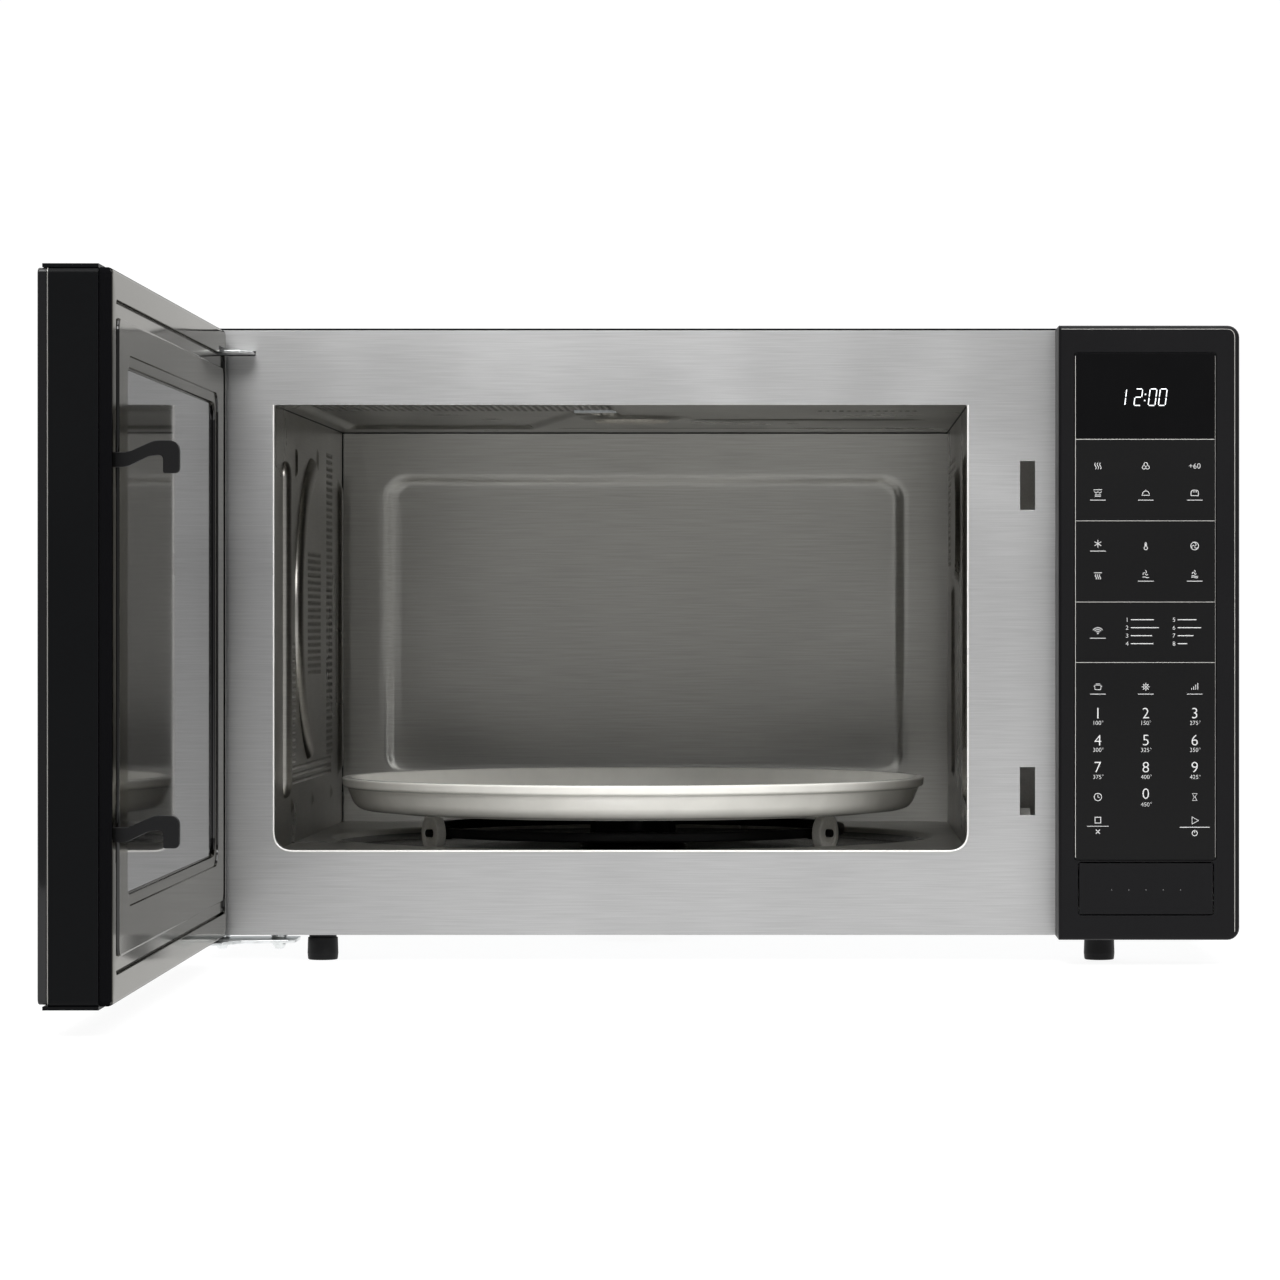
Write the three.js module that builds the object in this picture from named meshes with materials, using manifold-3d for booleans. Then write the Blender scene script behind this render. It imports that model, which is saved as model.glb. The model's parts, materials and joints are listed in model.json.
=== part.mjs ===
// Countertop convection microwave oven, as an assembly of separate pieces.
// Millimetres, +Z up. While it is built, x = 0 is the middle of the body, y = 0 is the
// steel front face (+y towards the back) and z = 0 is the surface the feet stand on.
// At the end the whole assembly is moved, so that its origin is the bottom centre of its
// bounding box with the door open.

import * as THREE from 'three';
import { mergeVertices } from 'three/addons/utils/BufferGeometryUtils.js';
import Module from 'manifold-3d';

const wasm = await Module();
wasm.setup();

// ---------------------------------------------------------------- driving dimensions

const GAP = 0.3;
const SHEET = 0.8;

const BODY = { half: 312.5, top: 378, back: 455, hem: 14.9 };
const BASE = { bottom: 17, thickness: SHEET };
const FOOT = { x: 233.4, front: 22, rear: 425, radius: 9.25 };

const CAVITY = { left: -260.8, right: 153.8, floor: 66.1, ceiling: 332.4, front: 6.4, back: 420 };
const CAVITY_X = (CAVITY.left + CAVITY.right) / 2;
const LIP_CORNER = 12;
const BACK_PANEL = { margin: 29, depth: 5, corner: 14 };

const TURNTABLE = { y: 210, recessRadius: 191, recessDepth: 7.5 };
const ROLLER = { radius: 11.8, width: 6.4, pitch: 141.5, bore: 2.9, axle: 2.5 };
const TRAY = { radius: 186, underside: 82.7, rim: 104.2, wall: 4.5 };

const LATCH_SLOT = { left: 184.9, right: 193.8, upper: [269.7, 298.9], lower: [87.6, 116.2] };

const PANEL = { left: 205.9, right: 312.5, bottom: 15.5, top: 377.5, front: -38.5, wall: 2.5, corner: 7 };
const KEYPAD = { left: 215.4, right: 298.4, bottom: 62.8, top: 361.1, split: 310.8, depth: 0.9 };
const BUTTON = { left: 218.1, right: 296.6, bottom: 30.8, top: 60.8 };

const DOOR_OPEN = THREE.MathUtils.degToRad(89.2);
const PIVOT = { x: -302.5, y: -17 };
// The door's own frame: u along its width from the pivot, v through its thickness, z up.
const DOOR = { hinge: -10, free: 507, front: -21.5, inner: 15, bottom: 16.4, top: 375.8 };
const GLASS_THICKNESS = 4.6;
const WINDOW = { hinge: 43, free: 442, bottom: 67, top: 330, corner: 10 };
const SEAL_GROOVE = { hinge: 0, free: 493, bottom: 30, top: 361, width: 1.2, depth: 0.8 };
const HOOK = { u: 488.6, width: 4.8, reach: 31, upper: 279, lower: 95 };
const HINGE_PLATE = { z: 362.2, thickness: 1.6, right: -272, left: -309, front: -24 };

const FAN = { y: 235, z: 209 };
const FEED = { x: CAVITY_X, y: 175, radius: 22 };
const COOLER = { x: 236, z: 205 };
const UNIT_OUTER = -288;
const LEVER = { y: 6, z: 70 };
const RELEASE_SPRING = { x: 257, z: 45.8, radius: 4.5, wire: 0.6, turns: 4, from: -32.2, to: -20.6 };
const HINGE_SCREWS = [-259.6, -294];
const HOOK_ROOMS = [[266, 300], [82, 118]];
const ROLLER_ANGLES = [-150, -30, 90];
const ROLLER_Z = CAVITY.floor - TURNTABLE.recessDepth + 0.2 + ROLLER.radius;

// ---------------------------------------------------------------- finishes

function finish(color, roughness, metalness) {
  return new THREE.MeshStandardMaterial({ color, roughness, metalness });
}

const BRUSHED = finish(0xb9bab8, 0.35, 1.0);
const CAVITY_STEEL = finish(0x6f6e68, 0.4, 0.9);
const GALVANISED = finish(0xa4a8aa, 0.5, 0.9);
const BLACK_PAINT = finish(0x17181a, 0.45, 0.2);
const BLACK_PLASTIC = finish(0x141416, 0.4, 0.0);
const GLOSS_BLACK = finish(0x0b0b0d, 0.12, 0.0);
const CLEAR_GLASS = finish(0x2a2c2e, 0.05, 0.0);
const RUBBER = finish(0x111111, 0.8, 0.0);
const CERAMIC = finish(0xe6e4dc, 0.25, 0.0);
const WHITE_PLASTIC = finish(0xd8d8d2, 0.5, 0.0);
const BOARD_GREEN = finish(0x1f4a30, 0.6, 0.0);
const COPPER = finish(0xa8622c, 0.4, 0.9);
const ZINC = finish(0xd2d4d6, 0.3, 1.0);
const MICA = finish(0xb9a989, 0.6, 0.0);

// ---------------------------------------------------------------- shape helpers

const X_AXIS = new THREE.Vector3(1, 0, 0);
const Y_AXIS = new THREE.Vector3(0, 1, 0);
const Z_AXIS = new THREE.Vector3(0, 0, 1);
// A shape drawn in (y, z) is pushed along +x, one drawn in (x, z) along -y, one in (x, y) along +z.
const PUSH = {
  x: new THREE.Matrix4().makeBasis(Y_AXIS, Z_AXIS, X_AXIS),
  y: new THREE.Matrix4().makeBasis(X_AXIS, Z_AXIS, Y_AXIS.clone().negate()),
  z: new THREE.Matrix4(),
};

function signedVolume(position, index) {
  const a = new THREE.Vector3();
  const b = new THREE.Vector3();
  const c = new THREE.Vector3();
  let sum = 0;
  for (let i = 0; i < index.length; i += 3) {
    a.fromArray(position, index[i] * 3);
    b.fromArray(position, index[i + 1] * 3);
    c.fromArray(position, index[i + 2] * 3);
    sum += a.dot(b.cross(c));
  }
  return sum;
}

// A closed geometry as a solid: shared corners merged, slivers dropped, faces pointing out.
function solid(geometry) {
  geometry.deleteAttribute('normal');
  geometry.deleteAttribute('uv');
  const merged = mergeVertices(geometry, 1e-3);
  const position = merged.attributes.position.array;
  const source = merged.index.array;
  const index = [];
  for (let i = 0; i < source.length; i += 3) {
    const [a, b, c] = [source[i], source[i + 1], source[i + 2]];
    if (a !== b && b !== c && c !== a) index.push(a, b, c);
  }
  if (signedVolume(position, index) < 0) index.reverse();
  return new wasm.Manifold(new wasm.Mesh({
    numProp: 3,
    vertProperties: position,
    triVerts: new Uint32Array(index),
  }));
}

function bar(x0, x1, y0, y1, z0, z1) {
  const geometry = new THREE.BoxGeometry(x1 - x0, y1 - y0, z1 - z0);
  return solid(geometry.translate((x0 + x1) / 2, (y0 + y1) / 2, (z0 + z1) / 2));
}

function rod(axis, [x, y, z], radius, from, to, segments = 24, endRadius = radius) {
  const geometry = new THREE.CylinderGeometry(endRadius, radius, to - from, segments);
  geometry.translate(0, (from + to) / 2, 0);
  if (axis === 'x') geometry.rotateZ(-Math.PI / 2);
  if (axis === 'z') geometry.rotateX(Math.PI / 2);
  return solid(geometry.translate(x, y, z));
}

// [left, bottom, right, top] with one corner radius, or four: bottom left, bottom right, top right, top left.
function roundedRect([left, bottom, right, top], corners) {
  const [bl, br, tr, tl] = Array.isArray(corners) ? corners : [corners, corners, corners, corners];
  const shape = new THREE.Shape();
  const corner = (x, y, r, start) => {
    if (r > 0) shape.absarc(x, y, r, start, start + Math.PI / 2, false);
    else shape.lineTo(x, y);
  };
  shape.moveTo(left + bl, bottom);
  shape.lineTo(right - br, bottom);
  corner(right - br, bottom + br, br, -Math.PI / 2);
  corner(right - tr, top - tr, tr, 0);
  corner(left + tl, top - tl, tl, Math.PI / 2);
  corner(left + bl, bottom + bl, bl, Math.PI);
  return shape;
}

function grow([left, bottom, right, top], by) {
  return [left - by, bottom - by, right + by, top + by];
}

function push(shape, axis, from, to, curveSegments = 6) {
  const options = { depth: to - from, bevelEnabled: false, curveSegments };
  const geometry = new THREE.ExtrudeGeometry(shape, options).applyMatrix4(PUSH[axis]);
  const shift = { x: [from, 0, 0], y: [0, to, 0], z: [0, 0, from] }[axis];
  return solid(geometry.translate(...shift));
}

function outline(points) {
  return new THREE.Shape(points.map(([x, y]) => new THREE.Vector2(x, y)));
}

// A turned piece about a vertical line through (x, y); the profile is [radius, z] pairs.
function turned(profile, x, y, segments = 40) {
  const points = profile.map(([r, z]) => new THREE.Vector2(r, z));
  const geometry = new THREE.LatheGeometry(points, segments);
  geometry.rotateX(Math.PI / 2);
  return solid(geometry.translate(x, y, 0));
}

function arcPoints(cx, cz, radius, fromDeg, toDeg, steps) {
  const points = [];
  for (let i = 0; i <= steps; i += 1) {
    const angle = THREE.MathUtils.degToRad(fromDeg + ((toDeg - fromDeg) * i) / steps);
    points.push([cx + radius * Math.cos(angle), cz + radius * Math.sin(angle)]);
  }
  return points;
}

function join(...solids) {
  return solids.reduce((whole, next) => whole.add(next));
}

function cut(whole, ...tools) {
  return tools.reduce((rest, tool) => rest.subtract(tool), whole);
}

function row(count, make) {
  return Array.from({ length: count }, (_, i) => make(i));
}

const turnAbout = (shape, x, y, degrees) => shape.translate([-x, -y, 0]).rotate([0, 0, degrees])
  .translate([x, y, 0]);

const oven = new THREE.Group();
const body = new THREE.Group();
const doorHinge = new THREE.Group();
oven.add(body, doorHinge);
doorHinge.position.set(PIVOT.x, PIVOT.y, 0);
doorHinge.rotation.z = -DOOR_OPEN;

function piece(name, shape, material, group = body) {
  const { vertProperties, triVerts } = shape.getMesh();
  const geometry = new THREE.BufferGeometry();
  geometry.setAttribute('position', new THREE.BufferAttribute(new Float32Array(vertProperties), 3));
  geometry.setIndex(new THREE.BufferAttribute(new Uint32Array(triVerts), 1));
  geometry.computeVertexNormals();
  const mesh = new THREE.Mesh(geometry, material);
  mesh.name = name;
  group.add(mesh);
}

// ---------------------------------------------------------------- cabinet

function outerCabinet() {
  const outside = [-BODY.half, BODY.hem, BODY.half, BODY.top];
  const inside = grow(outside, -SHEET);
  const [from, to] = [0.2, BODY.back];
  const wrap = cut(
    push(roundedRect(outside, [0, 0, 4, 4]), 'y', from, to),
    push(roundedRect(inside, [0, 0, 4 - SHEET, 4 - SHEET]), 'y', from - 1, to + 1),
    bar(-300.5, 300.5, from - 1, to + 1, BODY.hem - 1, BODY.hem + 5),
  );
  const louvre = (side, y, z0, z1) => bar(side * 320 - 15, side * 320 + 15, y, y + 3, z0, z1);
  const louvres = row(8, (i) => louvre(-1, 300 + 11 * i, 250, 290))
    .concat(row(8, (i) => louvre(1, 300 + 11 * i, 60, 100)));
  return cut(wrap, ...louvres);
}

function rearPanel() {
  const plate = push(roundedRect([-311.3, 18.4, 311.3, 376.8], [0, 0, 3, 3]), 'y', 452.3, 453.3, 3);
  const chord = (offset, radius) => Math.sqrt(radius * radius - offset * offset);
  const fanGrille = row(9, (i) => {
    const dz = (i - 4) * 10;
    const half = chord(dz, 46);
    return bar(COOLER.x - half, COOLER.x + half, 450, 456, COOLER.z + dz - 3, COOLER.z + dz + 3);
  });
  const exhaust = row(8, (i) => bar(-250 + 16 * i, -244 + 16 * i, 450, 456, 290, 330));
  const cordHole = rod('y', [250, 0, 62], 9, 450, 456, 20);
  return cut(plate, ...fanGrille, ...exhaust, cordHole);
}

function basePlate() {
  const plate = bar(-311.3, 311.3, 1.4, 451.9, BASE.bottom, BASE.bottom + BASE.thickness);
  const hole = (x, y, r) => rod('z', [x, y, 0], r, BASE.bottom - 1, BASE.bottom + 3, 12);
  const footHoles = [FOOT.front, FOOT.rear].flatMap((y) => [hole(-FOOT.x, y, 3.4), hole(FOOT.x, y, 3.4)]);
  const screwHoles = HINGE_SCREWS.map((x) => hole(x, 22, 2.5));
  const vents = row(6, (i) => bar(190 + 16 * i, 196 + 16 * i, 330, 370, 15, 20));
  const motorWindow = rod('z', [CAVITY_X, TURNTABLE.y, 0], 30, BASE.bottom - 1, BASE.bottom + 3, 24);
  return cut(plate, ...footHoles, ...screwHoles, ...vents, motorWindow);
}

function foot(x, y) {
  const top = BASE.bottom - GAP;
  const profile = [[0, 0], [FOOT.radius - 0.8, 0], [FOOT.radius, 0.8], [FOOT.radius - 0.5, top],
    [3, top], [3, 21], [0, 21]];
  return turned(profile, x, y, 16);
}

function frontFrame() {
  const opening = [CAVITY.left, CAVITY.floor, CAVITY.right, CAVITY.ceiling];
  const corners = [LIP_CORNER, LIP_CORNER, 2, 2];
  const lipCorners = corners.map((r) => r + 1);
  const plate = join(
    push(roundedRect([-311.3, 16, 311.3, 376.8], [0, 0, 3, 3]), 'y', 0, 1, 3),
    bar(-299, 299, 0, 13, 16, 16.7),
    bar(-307, 307, 0, 13, 376, 376.8),
    push(roundedRect(grow(opening, 1), lipCorners), 'y', 0, 6, 5),
  );
  const slots = [LATCH_SLOT.upper, LATCH_SLOT.lower].map(([bottom, top]) => (
    bar(LATCH_SLOT.left, LATCH_SLOT.right, -1, 3, bottom, top)));
  const hingeSlot = bar(HINGE_PLATE.left - 0.6, HINGE_PLATE.right + 0.6, -1, 3, 361.6, 364.4);
  const electronicsWindow = bar(210, 304, -1, 3, 28, 366);
  return cut(
    plate,
    push(roundedRect(opening, corners), 'y', -1, 7, 5),
    ...slots,
    hingeSlot,
    electronicsWindow,
  );
}

// ---------------------------------------------------------------- oven cavity

function cavitySideWall(x0, x1, vents) {
  return cut(bar(x0, x1, CAVITY.front, CAVITY.back, CAVITY.floor - SHEET, CAVITY.ceiling + SHEET), ...vents);
}

function cavityLeftWall() {
  const slot = (y0, y1, z) => bar(CAVITY.left - 5, CAVITY.left + 5, y0, y1, z, z + 3);
  const intake = row(9, (i) => slot(FAN.y - 36, FAN.y + 36, FAN.z - 40 + 9 * i));
  const outlets = row(8, (i) => slot(104 + 30 * i, 128 + 30 * i, 101));
  return cavitySideWall(CAVITY.left - SHEET, CAVITY.left, [...intake, ...outlets]);
}

function cavityRightWall() {
  const slot = (z) => bar(CAVITY.right - 5, CAVITY.right + 5, 290, 370, z, z + 3);
  return cavitySideWall(CAVITY.right, CAVITY.right + SHEET, row(7, (i) => slot(244 + 9 * i)));
}

function cavityCeiling() {
  const sheet = bar(
    CAVITY.left + GAP, CAVITY.right - GAP, CAVITY.front, CAVITY.back, CAVITY.ceiling, CAVITY.ceiling + SHEET,
  );
  const feed = rod('z', [FEED.x, FEED.y, 0], FEED.radius, 320, 340, 24);
  const vents = row(8, (i) => bar(-235 + 18 * i, -225 + 18 * i, 30, 120, 325, 340));
  return cut(sheet, feed, ...vents);
}

function cavityFloor() {
  const { y, recessRadius, recessDepth } = TURNTABLE;
  const top = CAVITY.floor;
  const axis = [CAVITY_X, y, 0];
  const deck = bar(CAVITY.left + GAP, CAVITY.right - GAP, CAVITY.front, CAVITY.back, top - SHEET, top);
  const pan = cut(
    rod('z', axis, recessRadius + SHEET, top - recessDepth - SHEET, top, 48),
    rod('z', axis, recessRadius, top - recessDepth, top + 5, 48),
  );
  return cut(
    join(cut(deck, rod('z', axis, recessRadius + SHEET / 2, 50, 80, 48)), pan),
    rod('z', axis, 8, 50, 80, 16),
  );
}

function cavityBackWall() {
  const outer = [CAVITY.left - SHEET, CAVITY.floor - SHEET, CAVITY.right + SHEET, CAVITY.ceiling + SHEET];
  const { margin, depth, corner } = BACK_PANEL;
  const pressing = grow([CAVITY.left, CAVITY.floor, CAVITY.right, CAVITY.ceiling], -margin);
  const front = CAVITY.back + GAP;
  return cut(
    join(
      bar(outer[0], outer[2], front, front + SHEET, outer[1], outer[3]),
      push(roundedRect(grow(pressing, SHEET), corner + SHEET), 'y', front, front + depth + SHEET),
    ),
    push(roundedRect(pressing, corner), 'y', front - 1, front + depth),
  );
}

function feedCover() {
  const profile = [
    [0, 329.9], [24, 329.9], [25.4, 330.8], [25.4, 332.1], [21.5, 332.1], [21.5, 333.4], [0, 333.4],
  ];
  return turned(profile, FEED.x, FEED.y, 24);
}

// ---------------------------------------------------------------- turntable

function tray() {
  const { radius, underside, rim, wall } = TRAY;
  const profile = [
    [0, underside],
    [radius - 20, underside],
    ...arcPoints(radius - 20, underside + 10, 10, -70, -20, 2),
    [radius - 4.4, rim - 6.4],
    [radius - 0.6, rim - 6],
    [radius, rim - 5.2],
    [radius, rim - 1],
    [radius - 1, rim],
    [radius - 5.5, rim],
    [radius - 6.6, rim - 1],
    [radius - 10.5, underside + 12],
    ...arcPoints(radius - 22, underside + wall + 9, 9, -15, -75, 2),
    [0, underside + wall],
  ];
  const dish = turned(profile, CAVITY_X, TURNTABLE.y, 48);
  const lugs = [30, 150, 270].map((degrees) => {
    const angle = THREE.MathUtils.degToRad(degrees);
    const at = [CAVITY_X + 22 * Math.cos(angle), TURNTABLE.y + 22 * Math.sin(angle), 0];
    return rod('z', at, 4, 78.5, underside + 1, 12);
  });
  return join(dish, ...lugs);
}

function driveCoupler() {
  const hub = turned([[0, 46], [3.4, 46], [3.4, 59.2], [34, 59.2], [34, 60.4], [25, 68.2], [11, 69.5],
    [10, 81.6], [0, 81.6]], CAVITY_X, TURNTABLE.y, 20);
  const wing = bar(CAVITY_X, CAVITY_X + 29, TURNTABLE.y - 4, TURNTABLE.y + 4, 67, 81.6);
  const wings = [90, 210, 330].map((degrees) => turnAbout(wing, CAVITY_X, TURNTABLE.y, degrees));
  return join(hub, ...wings);
}

// A turned piece on a radial axle: the profile is pushed out along +x, then swung round the ring.
function onAxle(shape, degrees) {
  return turnAbout(shape.translate([CAVITY_X, TURNTABLE.y, ROLLER_Z]), CAVITY_X, TURNTABLE.y, degrees);
}

function rollerRing() {
  const { pitch, width, axle } = ROLLER;
  const hoop = cut(
    rod('z', [CAVITY_X, TURNTABLE.y, 0], 135, ROLLER_Z - 3, ROLLER_Z + 3, 48),
    rod('z', [CAVITY_X, TURNTABLE.y, 0], 128, ROLLER_Z - 4, ROLLER_Z + 4, 48),
  );
  const stubs = ROLLER_ANGLES.map((degrees) => onAxle(join(
    rod('x', [0, 0, 0], axle, 130, pitch + width / 2 + 1.8, 12),
    rod('x', [0, 0, 0], 4.2, 134, pitch - width / 2 - GAP, 12),
  ), degrees));
  return join(hoop, ...stubs);
}

function roller(degrees) {
  const { pitch, width, radius, bore } = ROLLER;
  const [from, to] = [pitch - width / 2, pitch + width / 2];
  return onAxle(cut(
    join(
      rod('x', [0, 0, 0], radius, from + 0.8, to - 0.8, 24),
      rod('x', [0, 0, 0], radius - 0.8, from, to, 24),
    ),
    rod('x', [0, 0, 0], bore, from - 1, to + 1, 12),
    rod('x', [0, 0, 0], 5.2, to - 1.2, to + 1, 12),
  ), degrees);
}

function turntableMotor() {
  const at = [CAVITY_X, TURNTABLE.y, 0];
  return cut(
    join(
      rod('z', at, 25, 36, 54, 24),
      rod('z', at, 7, 53, 57, 16),
      bar(CAVITY_X - 34, CAVITY_X + 34, TURNTABLE.y - 7, TURNTABLE.y + 7, 52.8, 54),
      bar(CAVITY_X - 12, CAVITY_X + 12, TURNTABLE.y + 22, TURNTABLE.y + 38, 38, 50),
    ),
    rod('z', at, 3.9, 44, 60, 16),
  );
}

// ---------------------------------------------------------------- microwave and cooling

function waveguide() {
  const duct = cut(
    bar(-88, 288, 134, 216, 333.6, 372),
    bar(-87, 287, 135, 215, 334.6, 371),
    rod('z', [FEED.x, FEED.y, 0], FEED.radius, 330, 336, 24),
    rod('z', [248, 175, 0], 13, 330, 336, 16),
  );
  const vents = row(6, (i) => bar(100 + 12 * i, 106 + 12 * i, 160, 190, 369, 374));
  return cut(duct, ...vents);
}

function magnetron() {
  const can = bar(204, 292, 135, 215, 247, 318);
  const windows = row(5, (i) => bar(200, 296, 141, 209, 257 + 11 * i, 264 + 11 * i));
  const core = rod('z', [248, 175, 0], 20, 250, 320, 16);
  const antenna = join(
    rod('z', [248, 175, 0], 17, 317, 333.2, 20),
    rod('z', [248, 175, 0], 8, 333, 352, 14),
  );
  const connector = bar(236, 260, 205, 240, 236, 248);
  return join(cut(can, ...windows), core, antenna, connector);
}

function highVoltageTransformer() {
  const core = cut(
    bar(196, 292, 62, 142, 22, 100),
    bar(212, 232, 50, 150, 38, 84),
    bar(256, 276, 50, 150, 38, 84),
  );
  const winding = (y0, y1, spread) => push(
    roundedRect([212 - spread + 2, 40, 276 + spread - 2, 82], 6), 'y', y0, y1, 3,
  );
  const feet = bar(186, 302, 70, 134, BASE.bottom + BASE.thickness + GAP, 23);
  return join(core, winding(52, 66, 0), winding(138, 152, 0), feet);
}

function highVoltageCapacitor() {
  const can = push(roundedRect([192, 170, 224, 222], 14), 'z', 26, 116, 6);
  const base = bar(186, 300, 176, 216, BASE.bottom + BASE.thickness + GAP, 27);
  const terminal = (x) => bar(x, x + 1, 192, 199, 115, 128);
  return join(can, base, terminal(201), terminal(214));
}

function coolingFanMotor() {
  const stack = cut(
    bar(COOLER.x - 32, COOLER.x + 32, 396, 414, COOLER.z - 30, COOLER.z + 30),
    bar(COOLER.x - 22, COOLER.x + 22, 390, 420, COOLER.z - 26, COOLER.z - 18),
  );
  const coil = bar(COOLER.x - 16, COOLER.x + 16, 391, 419, COOLER.z - 40, COOLER.z - 27);
  const bearing = rod('y', [COOLER.x, 0, COOLER.z], 9, 390, 420);
  const bridge = bar(COOLER.x - 60, COOLER.x + 60, 388, 390.5, COOLER.z - 6, COOLER.z + 6);
  const legs = [-1, 1].map((s) => (
    bar(COOLER.x + s * 58 - 2, COOLER.x + s * 58 + 2, 388, 438, COOLER.z - 6, COOLER.z + 6)));
  return cut(
    join(stack, coil, bearing, bridge, ...legs),
    rod('y', [COOLER.x, 0, COOLER.z], 2.4, 408, 425, 16),
  );
}

function coolingFanBlade() {
  const centre = [COOLER.x, 0, COOLER.z];
  const hub = join(rod('y', centre, 11, 424, 444), rod('y', centre, 2, 410, 426, 12));
  const blades = row(5, (i) => {
    const blade = bar(8, 44, -1, 1, -11, 11).rotate([32, 0, 0]);
    return blade.rotate([0, 72 * i, 0]).translate([COOLER.x, 434, COOLER.z]);
  });
  return join(hub, ...blades);
}

function fanShroud() {
  return cut(
    bar(COOLER.x - 66, COOLER.x + 66, 438.4, 451.8, COOLER.z - 62, COOLER.z + 62),
    rod('y', [COOLER.x, 0, COOLER.z], 48, 430, 460, 40),
    bar(COOLER.x - 61, COOLER.x + 61, 441, 455, COOLER.z - 57, COOLER.z + 57),
  ).add(cut(
    rod('y', [COOLER.x, 0, COOLER.z], 50.5, 438.4, 451.8, 40),
    rod('y', [COOLER.x, 0, COOLER.z], 48, 430, 460, 40),
  ));
}

// ---------------------------------------------------------------- convection unit, left of the cavity

function convectionHousing() {
  const [right, left] = [CAVITY.left - SHEET - GAP, UNIT_OUTER];
  const box = [90, 84, 380, 322];
  return cut(
    join(
      push(roundedRect(box, 12), 'x', left, right, 4),
      push(roundedRect(grow(box, 10), 12), 'x', right - SHEET, right, 4),
    ),
    push(roundedRect(grow(box, -SHEET), 11), 'x', left + SHEET, right + 1, 4),
    rod('x', [0, FAN.y, FAN.z], 9, left - 5, right, 20),
  );
}

function convectionFan() {
  const centre = [0, FAN.y, FAN.z];
  const plate = rod('x', centre, 68, UNIT_OUTER + 4, UNIT_OUTER + 5.2, 32);
  const hub = rod('x', centre, 6, UNIT_OUTER - 3, UNIT_OUTER + 9, 12);
  const vanes = row(10, (i) => (
    bar(0, 15, 36, 66, -0.5, 0.5).rotate([36 * i, 0, 0]).translate([UNIT_OUTER + 5, FAN.y, FAN.z])));
  return join(plate, hub, ...vanes);
}

function convectionHeater() {
  const radius = 84;
  const path = new THREE.CatmullRomCurve3(row(25, (i) => {
    const angle = THREE.MathUtils.degToRad(-80 + 340 * (i / 24));
    return new THREE.Vector3(-276, FAN.y + radius * Math.sin(angle), FAN.z - radius * Math.cos(angle));
  }));
  const section = new THREE.Shape().absarc(0, 0, 3.2, 0, 2 * Math.PI, false);
  const geometry = new THREE.ExtrudeGeometry(section, { steps: 40, extrudePath: path, curveSegments: 4 });
  return solid(geometry);
}

function convectionMotor() {
  const centre = [0, FAN.y, FAN.z];
  const outer = -BODY.half + SHEET + 0.6;
  return cut(
    join(
      rod('x', centre, 32, outer, UNIT_OUTER - 5, 24),
      rod('x', centre, 12, UNIT_OUTER - 6, UNIT_OUTER - 2, 20),
      bar(UNIT_OUTER - 6.4, UNIT_OUTER - 5, FAN.y - 50, FAN.y + 50, FAN.z - 9, FAN.z + 9),
    ),
    rod('x', centre, 6.6, UNIT_OUTER - 4, UNIT_OUTER + 1, 20),
  );
}

// ---------------------------------------------------------------- lamp, boards, cord inlet

function ovenLamp() {
  const bulb = new THREE.SphereGeometry(11, 14, 8).translate(180, 330, 272);
  return join(solid(bulb), rod('z', [180, 330, 0], 8, 240, 264, 20));
}

function lampHousing() {
  return cut(
    bar(155, 200, 302, 358, 234, 296),
    bar(154, 199, 303, 357, 235, 295),
    rod('z', [180, 330, 0], 8.6, 230, 238, 20),
    rod('x', [0, 330, 275], 6, 195, 205, 16),
  );
}

function noiseFilterBoard() {
  return join(
    bar(196, 300, 396, 446, 300, 301.6),
    rod('z', [222, 420, 0], 14, 301, 318, 20),
    bar(244, 262, 404, 436, 301, 316),
    bar(270, 294, 402, 410, 301, 314),
    rod('z', [284, 428, 0], 7, 301, 322, 16),
  );
}

function cordGland() {
  return cut(
    join(
      rod('y', [250, 0, 62], 13, 453.7, 455, 24),
      rod('y', [250, 0, 62], 8.6, 444, 454, 24),
      rod('y', [250, 0, 62], 11, 444, 451.9, 24),
    ),
    rod('y', [250, 0, 62], 4, 440, 460, 16),
  );
}

// ---------------------------------------------------------------- door latch in the body

function latchBracket() {
  const wall = bar(172, 203, 1.5, 56, 56, 320);
  const pocket = ([bottom, top]) => bar(174, 201, 0, 48, bottom - 6, top + 6);
  const switchBay = (z0, z1) => bar(174, 204, 8, 50, z0, z1);
  const leverBay = bar(174, 204, 0, 54, 50, 82);
  const bracket = cut(wall, pocket(LATCH_SLOT.upper), pocket(LATCH_SLOT.lower), leverBay,
    switchBay(130, 160), switchBay(176, 206), switchBay(222, 252));
  return cut(bracket, rod('x', [0, LEVER.y, LEVER.z], 3.4, 160, 210, 16));
}

function openLever() {
  const pin = rod('x', [0, LEVER.y, LEVER.z], 3, 171.6, 240, 16);
  const lifterArm = push(outline([[5, 67], [30, 83], [30, 90.6], [26, 90.6], [4, 73]]), 'x', 184, 192);
  const pushArm = push(
    outline([[8, 73], [2, 74], [-23.4, 54], [-23.4, 42], [-19.9, 42], [-19.4, 50], [8, 67]]), 'x', 226, 238,
  );
  return join(pin, lifterArm, pushArm);
}

function microswitch(z) {
  const shell = bar(177, 187, 14, 42, z, z + 17);
  const plunger = bar(186.5, 188.2, 34, 36.5, z + 7, z + 10);
  const terminals = [18, 27, 36].map((y) => bar(181.6, 182.4, y, y + 4, z - 6, z + 0.5));
  return join(shell, plunger, ...terminals);
}

// ---------------------------------------------------------------- control panel

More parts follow.
